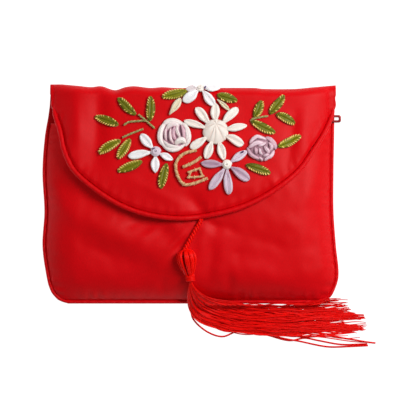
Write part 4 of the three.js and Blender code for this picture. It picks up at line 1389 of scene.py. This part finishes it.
def rose(name, spec, material):
    """A ribbon rose: puffed bands that cross over each other on a dark base disc, painted shade for the
    gaps between them.
    """
    patches = Patches()
    x, y = flap_x(spec["x"]), flap_y(spec["down"])
    radius = ROSE_RADIUS * spec["size"] * 0.86
    angle = all_round(ROSE_POINTS)

    def ring(out):
        dome = GAP + 0.75 * math.sqrt(1 - (out * 0.95) ** 2)
        return over_flap(x + radius * out * np.cos(angle), y + radius * out * np.sin(angle), dome)

    rings = np.stack([ring(out) for out in np.linspace(0.12, 1, 8)])
    # A dark disc under the bands: painted shade for the gaps between them
    patches.disc(ring(0.0)[0], rings, spec["base"])
    for k, row in enumerate(spec["bands"]):
        band(patches, x, y, row, 10 * len(name) + k)
    dress(patches.make(name + "_ribbon", material), name)


def leaf_half(s, full):
    """The half width of a leaf along its length. full is where it is widest."""
    opening = np.sin(math.pi / 2 * np.clip(s / full, 0, 1)) ** 0.55
    closing = np.cos(math.pi / 2 * np.clip((s - full) / (1 - full), 0, 1)) ** 0.6
    return LEAF_WIDTH / 2 * np.maximum(opening * closing, 0.03)


def leaf(number, row):
    """A leaf of ribbon folded along its middle, with slanting ribs and a gold edge."""
    name = f"leaf_{number:02d}"
    rng = np.random.default_rng(number)
    x_share, down, turn, long_share, beads_left, beads_right, tone = row
    x, y = flap_x(x_share), flap_y(down)
    length = LEAF_LENGTH * long_share
    full = {-1: rng.uniform(0.38, 0.52), 1: rng.uniform(0.46, 0.62)}
    bow = rng.uniform(-0.35, 0.35)

    def spot(s, side, out, height):
        s = np.asarray(s, float)
        across = side * out * 0.95 * leaf_half(s, full[side]) + bow * np.sin(math.pi * s)
        return laid(x, y, turn, (s - 0.5) * length, across, GAP + height)

    s = np.linspace(0, 1, LEAF_GRID[0])[:, None]
    out = np.linspace(0, 1, LEAF_GRID[1])[None, :]
    lobes = 0.55 + 0.37 * np.sin(math.pi * np.clip(out * 0.9 + 0.05, 0, 1)) - 0.25 * out ** 4
    top = LEAF_RELIEF * lobes * (0.35 + 0.65 * np.sin(math.pi * s) ** 0.6)
    left, right = spot(s, -1, out, top), spot(s, 1, out, top)
    patches = Patches()
    # Painted light and shade: lighter on the crest of each half, darker in the middle fold and at the edge
    tint = 0.08 + 0.26 * np.sin(math.pi * (0.15 + 0.85 * out)) + 0.3 * (tone - 0.4) + 0 * s
    patches.sheet(left, RIBBON_THICKNESS, np.clip(tint, 0, 1))
    patches.sheet(right[:, ::-1], RIBBON_THICKNESS, np.clip(tint, 0, 1)[:, ::-1])
    made = [patches.make(name + "_folds", LEAF_THREAD)]

    ribs, beads = [], []
    for side, strong in ((-1, beads_left), (1, beads_right)):
        for k in range(LEAF_RIBS):
            low = 0.03 + 0.86 * k / LEAF_RIBS
            high = low + 0.13
            start = spot(low, side, 0.08, LEAF_RELIEF * 0.55)
            end = spot(high, side, 0.92, LEAF_RELIEF * 0.55)
            middle = spot((low + high) / 2, side, 0.5, LEAF_RELIEF * 0.85)
            up = spot((low + high) / 2, side, 0.5, 10) - middle
            aim = end - start
            long = np.linalg.norm(aim) * 1.15
            ribs.append((middle, aim, up, (long, 0.46, 0.42), tone + rng.uniform(-0.3, 0.3)))
            if rng.uniform() < strong + 0.2:
                size = 0.42 + 0.26 * strong
                place = spot(high, side, 0.8, LEAF_RELIEF * 0.8)
                shape = (1.1 + 0.4 * strong, size, size)
                beads.append((place, aim, up, shape, rng.uniform(0.3, 1.0)))
        edge = spot(np.linspace(0.01, 0.99, 20), side, 1.0, LEAF_RELIEF * 0.32)
        thick = 0.14 + 0.05 * strong
        made.append(threads(f"{name}_edge_{side}", [edge], thick, 0.3, GOLD_THREAD))
    made.append(stitches(name + "_ribs", ribs, LEAF_THREAD, rings=6))
    made.append(stitches(name + "_ends", beads, BEAD_THREAD))
    dress(join(name + "_stitches", made), name)


def bud(number, row):
    """A closed bud: one stitch of ribbon."""
    x_share, down, turn, long_share, wide, tone = row
    name = f"bud_{number}"
    half = LEAF_LENGTH * long_share / 2
    patches = Patches()
    petal(
        patches, flap_x(x_share), flap_y(down), turn, -half, half, PETAL_WIDTH * wide,
        tone, corner=0.1, blunt=2.0, seed=40 + number,
    )
    dress(patches.make(name + "_ribbon", BUD_RIBBON), name)


def run_on_flap(points, radius):
    route = Route([(flap_x(a), flap_y(b)) for a, b in points])
    at = route.at(np.linspace(0, 1, max(int(route.length / 0.8), 4)))
    return over_flap(at[:, 0], at[:, 1], GAP + radius)


def stem(name, runs):
    """A stem of two plies of thread, a light one and a dark one."""
    lines = []
    for k, run in enumerate(runs):
        lines += twisted(run_on_flap(run, STEM_RADIUS), STEM_RADIUS * 0.5, 2.6, 2, k)
    tints = [0.3 + 0.5 * (k % 2) for k in range(len(lines))]
    made = threads(name + "_thread", lines, STEM_RADIUS * 0.58, tints, STEM_THREAD, sides=8)
    dress(made, name)


def gold_run(name, runs):
    """Couched gold thread: a twist of three plies, held down by small stitches across it."""
    lines, thick, spots = [], [], []
    for k, run in enumerate(runs):
        size = GOLD_RADIUS * (1 if len(run) > 3 else 0.72)
        path = run_on_flap(run, GOLD_RADIUS)
        lines += twisted(path, size * 0.5, 2.4, 3, k)
        thick += [size * 0.52] * 3
        for i in range(3, len(path) - 2, 5):
            way = path[i + 1] - path[i - 1]
            spots.append((path[i] + UP * 0.35, np.cross(way, UP), UP, TIE_SIZE, 0.9))
    tints = [0.3 + 0.25 * (k % 3) for k in range(len(lines))]
    made = [threads(name + "_twist", lines, thick, tints, GOLD_THREAD, sides=8)]
    made.append(stitches(name + "_ties", spots, GOLD_THREAD, 8, 6))
    dress(join(name + "_gold", made), name)


# The tassel


def support(x, y):
    """What lies under a point: the front panel inside its outline, and the floor elsewhere."""
    inside = (y > BOTTOM) & (y < MOUTH) & (x > -pouch_side(y, "left")) & (x < pouch_side(y, "right"))
    return np.where(inside, pouch_top(x, y), 0)


def rest_height(x, y, reach):
    """The highest support within reach of a point."""
    highest = support(x, y)
    for k in range(8):
        angle = math.pi * k / 4
        beside = support(x + reach * math.cos(angle), y + reach * math.sin(angle))
        highest = np.maximum(highest, beside)
    return np.where(highest > 0, highest + 0.1, 0)


def settled(low, slack):
    """The heights of a limp strand over what it rests on: it bridges a hollow a little."""
    height = low.copy()
    for _ in range(6):
        middle = (height[:-2] + height[2:]) / 2 - slack
        height[1:-1] = np.maximum(low[1:-1], middle)
    return height


def skirt_route(share_start, share_end, reach):
    """A strand's way along the sweep, as its share across the skirt goes from start to end."""
    rows = []
    for k, (ax, ay, bx, by) in enumerate(SWEEP):
        share = blend(share_start, share_end, k / (len(SWEEP) - 1))
        across = blend(ax, bx, share) * SKIRT_REACH
        down = blend(ay, by, share) * SKIRT_DROP
        rows.append(NECK + np.array([across, -down]))
    return Route(rows).at(np.linspace(0, reach, SKIRT_STEPS))


def head_part(share, layer):
    """A strand's way from the head's top, out round the head and in to the neck."""
    u = np.linspace(0, 1, HEAD_STEPS, endpoint=False)
    c = 2 * share - 1
    swell = 0.12 + 0.95 * np.sin(math.pi * u ** 0.62) ** 0.8 * (1 - 0.2 * u)
    swell = swell * (1 - smooth(u, 0.75, 1)) + 0.42 * smooth(u, 0.75, 1)
    at = blend(HEAD_TOP, NECK, u[:, None]) + HEAD_SIDE * (c * HEAD_WIDTH / 2 * swell)[:, None]
    base = rest_height(at[:, 0], at[:, 1], 1.0)
    lift = HEAD_THICKNESS * swell * np.sqrt(1 - 0.8 * c * c) * layer
    return at, base + lift


def neck_binding():
    """The turns of thread that bind the tassel at its neck."""
    turns = 4
    t = np.linspace(0, 1, turns * 16)
    angle = FULL_TURN * turns * t
    half_width = 0.22 * HEAD_WIDTH
    half_height = 0.3 * HEAD_THICKNESS
    base = float(rest_height(NECK[0], NECK[1], 1.0)) + half_height + 0.3
    at = NECK + np.outer(0.6 + 2.2 * (t - 0.5), HEAD_WAY)
    at = at + np.outer(half_width * np.cos(angle), HEAD_SIDE)
    path = raised(at, base + half_height * np.sin(angle))
    return threads("neck_binding", [path], STRAND_RADIUS * 1.2, 0.6, RAYON)


def strand(rng):
    """A strand from the head's top to its tip: its path, its radii and its tints."""
    bunch = BUNCHES[rng.integers(len(BUNCHES))]
    share = np.clip(bunch + rng.normal(0, 0.025), 0, 1)
    layer = rng.uniform(0.05, 1) ** 0.7
    head_at, head_z = head_part(share, layer)
    start = np.clip(1 - share + rng.normal(0, 0.12), 0, 1)
    lock = LOCKS[np.argmin(np.abs(LOCKS - np.clip(blend(start, rng.uniform(), 0.35), 0, 1)))]
    end = np.clip(lock + rng.normal(0, 0.025), -0.02, 1.03)
    reach = 0.95 + 0.06 * math.sin(41 * lock) - abs(rng.normal(0, 0.03))
    at = skirt_route(start, end, min(reach, 1))
    t = np.linspace(0, 1, len(at))
    way = np.gradient(at, axis=0)
    way /= np.linalg.norm(way, axis=1, keepdims=True)
    sway, wave, phase = rng.uniform(0.2, 0.7), rng.uniform(14, 30), rng.uniform(0, 6)
    wobble = sway * np.sin(FULL_TURN * t * STRAND_LENGTH / wave + phase) * smooth(t, 0.05, 0.4)
    wobble = wobble + (1.3 * math.sin(17 * lock) + rng.normal(0, 0.5)) * smooth(t, 0.55, 1.1)
    at = at + np.stack([-way[:, 1], way[:, 0]], -1) * wobble[:, None]
    low = rest_height(at[:, 0], at[:, 1], 0.6)
    depth = SKIRT_THICKNESS * (0.75 + 0.25 * np.sin(math.pi * t)) * (1 - 0.75 * smooth(t, 0.55, 1))
    z = settled(low, 0.01) + STRAND_RADIUS + layer * (depth - 2 * STRAND_RADIUS)
    height = np.concatenate([head_z + STRAND_RADIUS, z])
    for _ in range(2):
        height[8:20] = (height[7:19] + height[8:20] + height[9:21]) / 3
    count = len(height)
    step = np.arange(count)
    pinch = 1 - 0.35 * bell((step - HEAD_STEPS) / 4)
    tip = 1 - 0.45 * smooth(step, count - 7, count)
    # Painted light: the strands are lighter through the head, where they lie in their own shade, and a
    # little darker towards the tips
    painted_head_light = 0.5 * (1 - smooth(step, 8, 20)) - 0.12 * smooth(np.linspace(0, 1, count), 0.5, 1)
    path = raised(np.concatenate([head_at, at]), height)
    return path, STRAND_RADIUS * pinch * tip, rng.uniform(0, 0.8) + painted_head_light


def stray_strand(k, points):
    """A loose strand on the floor: its path, its radius and its tint."""
    at = Route(points).at(np.linspace(0, 1, STRAY_STEPS))
    low = rest_height(at[:, 0], at[:, 1], 0.4) + STRAND_RADIUS * 1.7 + 0.3 * k
    return raised(at, settled(low, 0.01)), STRAND_RADIUS * 1.6, 0.2 + 0.2 * k


def tassel():
    """The looped head and the skirt of rayon strands, each one thread from top to tip."""
    rng = np.random.default_rng(7)
    strands = [strand(rng) for _ in range(STRAND_COUNT)]
    strands += [stray_strand(k, points) for k, points in enumerate(STRAYS)]
    paths, radii, tints = zip(*strands)
    made = [threads("tassel_strands", paths, radii, tints, RAYON, sides=5), neck_binding()]
    dress(join("tassel_strands", made), "tassel")


def tassel_cord():
    """A cord of two plies, each of a few yarns, from the flap's edge to the tassel's head."""
    share = 0.5
    for _ in range(30):
        share += (flap_x(CORD_AT) - flap_edge.at(share)[0]) / flap_edge.length
    start = edge_point(np.array(share), -GAP - CORD_RADIUS * 0.6)
    way = start - HEAD_TOP
    end = HEAD_TOP + way / np.linalg.norm(way) * GAP
    at = blend(start, end, np.linspace(0, 1, 9)[:, None])
    z = settled(rest_height(at[:, 0], at[:, 1], CORD_RADIUS), 0.0) + CORD_RADIUS
    path = raised(at, z)
    path = np.vstack([path[0] + [0.3, 0.9, 0.6], path, path[-1] + [0, -1.0, -0.4]])
    lines = []
    for ply in twisted(path, CORD_RADIUS * 0.5, 2.7, 2, per_turn=12):
        lines += twisted(ply[::2], CORD_RADIUS * 0.24, 2.0, 4, per_turn=8)
    tints = [0.5 + 0.4 * ((k % 4) / 3) for k in range(len(lines))]
    made = threads("tassel_cord_twist", lines, CORD_RADIUS * 0.26, tints, RAYON)
    dress(made, "tassel_cord")


# The zip's end, inside the mouth

PULL_END = float(pouch_side(MOUTH, "right")) + PULL_PROUD
PULL_START = PULL_END - PULL_LENGTH
ZIP_Y = MOUTH + GAP + PULL_WIDTH / 2
ZIP_FLOOR = CLOTH + GAP


def bevelled(name, points, faces, width, segments):
    """A lacquered piece with rounded edges."""
    mesh = bpy.data.meshes.new(name)
    mesh.from_pydata((np.array(points) * MM).tolist(), [], faces)
    mesh.materials.append(LACQUER)
    made = add_object(name, mesh)
    bevel = made.modifiers.new("soft edges", "BEVEL")
    bevel.width = width * MM
    bevel.segments = segments
    bevel.limit_method = "ANGLE"
    mesh.shade_smooth()
    return made


def zip_pull():
    """A flat lacquered pull whose outer end is a rounded ring."""
    half = PULL_WIDTH / 2
    wire = PULL_WIDTH / 3.2
    low, high = ZIP_FLOOR, ZIP_FLOOR + PULL_THICKNESS

    def outline(x0, x1, reach, corner):
        points = [(x0, ZIP_Y - reach)]
        for side, first in ((-1, -90), (1, 0)):
            cx, cy = x1 - corner, ZIP_Y + side * (reach - corner)
            for k in range(CORNER_STEPS + 1):
                angle = math.radians(first + 90 * k / CORNER_STEPS)
                points.append((cx + corner * math.cos(angle), cy + corner * math.sin(angle)))
        points.append((x0, ZIP_Y + reach))
        return points

    outer = outline(PULL_START, PULL_END, half, half * 0.6)
    inner = outline(PULL_END - wire - PULL_WIDTH, PULL_END - wire, half - wire, half * 0.25)
    count = len(outer)
    points = [(px, py, z) for z in (low, high) for ring in (outer, inner) for px, py in ring]
    faces = []
    for a in range(count):
        b = (a + 1) % count
        faces.append((a, b, 2 * count + b, 2 * count + a))
        faces.append((count + b, count + a, 3 * count + a, 3 * count + b))
        faces.append((2 * count + a, 2 * count + b, 3 * count + b, 3 * count + a))
        faces.append((b, a, count + a, count + b))
    ring = bevelled("pull_ring", points, faces, PULL_BEVEL, 3)
    dress(ring, "zip_pull")


def zip_slider():
    """The slider, a plain block under the flap."""
    end = PULL_START - GAP
    low = ZIP_Y - PULL_WIDTH / 2
    x0, x1 = end - SLIDER_LENGTH, end
    y0, y1 = low, low + SLIDER_WIDTH
    levels = (ZIP_FLOOR, ZIP_FLOOR + SLIDER_HEIGHT)
    points = [(px, py, pz) for pz in levels for px, py in ((x0, y0), (x1, y0), (x1, y1), (x0, y1))]
    faces = [(3, 2, 1, 0), (4, 5, 6, 7), (0, 1, 5, 4), (1, 2, 6, 5), (2, 3, 7, 6), (3, 0, 4, 7)]
    body = bevelled("slider_body", points, faces, SLIDER_BEVEL, 4)
    dress(body, "zip_slider")


def zip_tape():
    """The woven tape with its coil of teeth."""
    end = PULL_START - SLIDER_LENGTH - 2 * GAP
    start = ROLL - float(pouch_side(MOUTH, "left"))
    half = PULL_WIDTH / 2
    x = np.linspace(start, end, 60)[None, :]
    y = np.linspace(ZIP_Y - half, ZIP_Y + half, 7)[:, None]
    grid = np.stack(np.broadcast_arrays(x, y, ZIP_FLOOR + TAPE_LEVEL + 0.05 * np.sin(x * 1.3)), -1)
    cloth = Patches()
    cloth.sheet(grid, TAPE_THICKNESS)
    tape = cloth.make("tape_cloth", SATIN)
    spots = []
    for px in np.arange(start + 0.6, end - 0.4, TEETH_STEP):
        spots.append(((px, ZIP_Y, ZIP_FLOOR + TEETH_LEVEL), (0.2, 1.0, 0.0), UP, TOOTH_SIZE, 0.3))
    teeth = stitches("tape_teeth", spots, RAYON)
    dress(join("zip_tape_and_teeth", [tape, teeth]), "zip_tape")


# The studio


def camera():
    """Straight above the purse."""
    lens = bpy.data.cameras.new("camera")
    lens.lens = LENS
    lens.sensor_width = SENSOR
    made = bpy.data.objects.new("camera", lens)
    away = PICTURE_WIDTH / SENSOR * LENS + PICTURE_LEVEL
    made.location = Vector((*PICTURE_MIDDLE, away)) * MM
    lens.clip_start = 0.01
    lens.clip_end = 20
    bpy.context.scene.collection.objects.link(made)
    bpy.context.scene.camera = made


def area_light(name, place, size, power, gloss):
    """A round lamp that looks at the origin. One without gloss leaves no shine on the cloth."""
    lamp = bpy.data.lights.new(name, "AREA")
    lamp.shape = "DISK"
    lamp.size = size
    lamp.energy = power
    made = bpy.data.objects.new(name, lamp)
    made.location = place
    made.visible_glossy = gloss
    made.rotation_euler = (-Vector(place)).to_track_quat("-Z", "Y").to_euler()
    bpy.context.scene.collection.objects.link(made)


def studio():
    half = FLOOR_HALF
    corners = [(-half, -half, 0), (half, -half, 0), (half, half, 0), (-half, half, 0)]
    mesh = bpy.data.meshes.new("studio_floor")
    mesh.from_pydata(corners, [], [(0, 1, 2, 3)])
    mesh.materials.append(studio_paper())
    add_object("studio_floor", mesh)
    world = bpy.data.worlds.new("studio")
    world.use_nodes = True
    sky = world.node_tree.nodes["Background"].inputs
    sky["Color"].default_value = (1, 1, 1, 1)
    sky["Strength"].default_value = SKY
    bpy.context.scene.world = world
    for name, spec in LAMPS.items():
        area_light(name, **spec)
    bpy.context.scene.view_settings.view_transform = "Standard"


camera()
studio()
front_panel()
back_and_flap()
flap_piping()
for number, row in enumerate(LEAVES, 1):
    leaf(number, row)
for number, row in enumerate(BUDS, 1):
    bud(number, row)
for name, runs in STEMS.items():
    stem(name, runs)
for name, runs in GOLD.items():
    gold_run(name, runs)
flower("daisy_cream", DAISY_CREAM, CREAM_RIBBON, "pleated")
flower("daisy_lilac", DAISY_LILAC, LILAC_RIBBON, (CREAM_RIBBON, 0.3))
flower("flower_white", FLOWER_WHITE, WHITE_RIBBON, (LILAC_RIBBON, 0.4))
flower("flower_fold", FLOWER_FOLD, WHITE_RIBBON, (CREAM_RIBBON, 0.4))
rose("rosette_cream", ROSE_CREAM, ROSE_RIBBON)
rose("rosette_lilac", ROSE_LILAC, LILAC_ROSE_RIBBON)
tassel_cord()
tassel()
zip_pull()
zip_slider()
zip_tape()
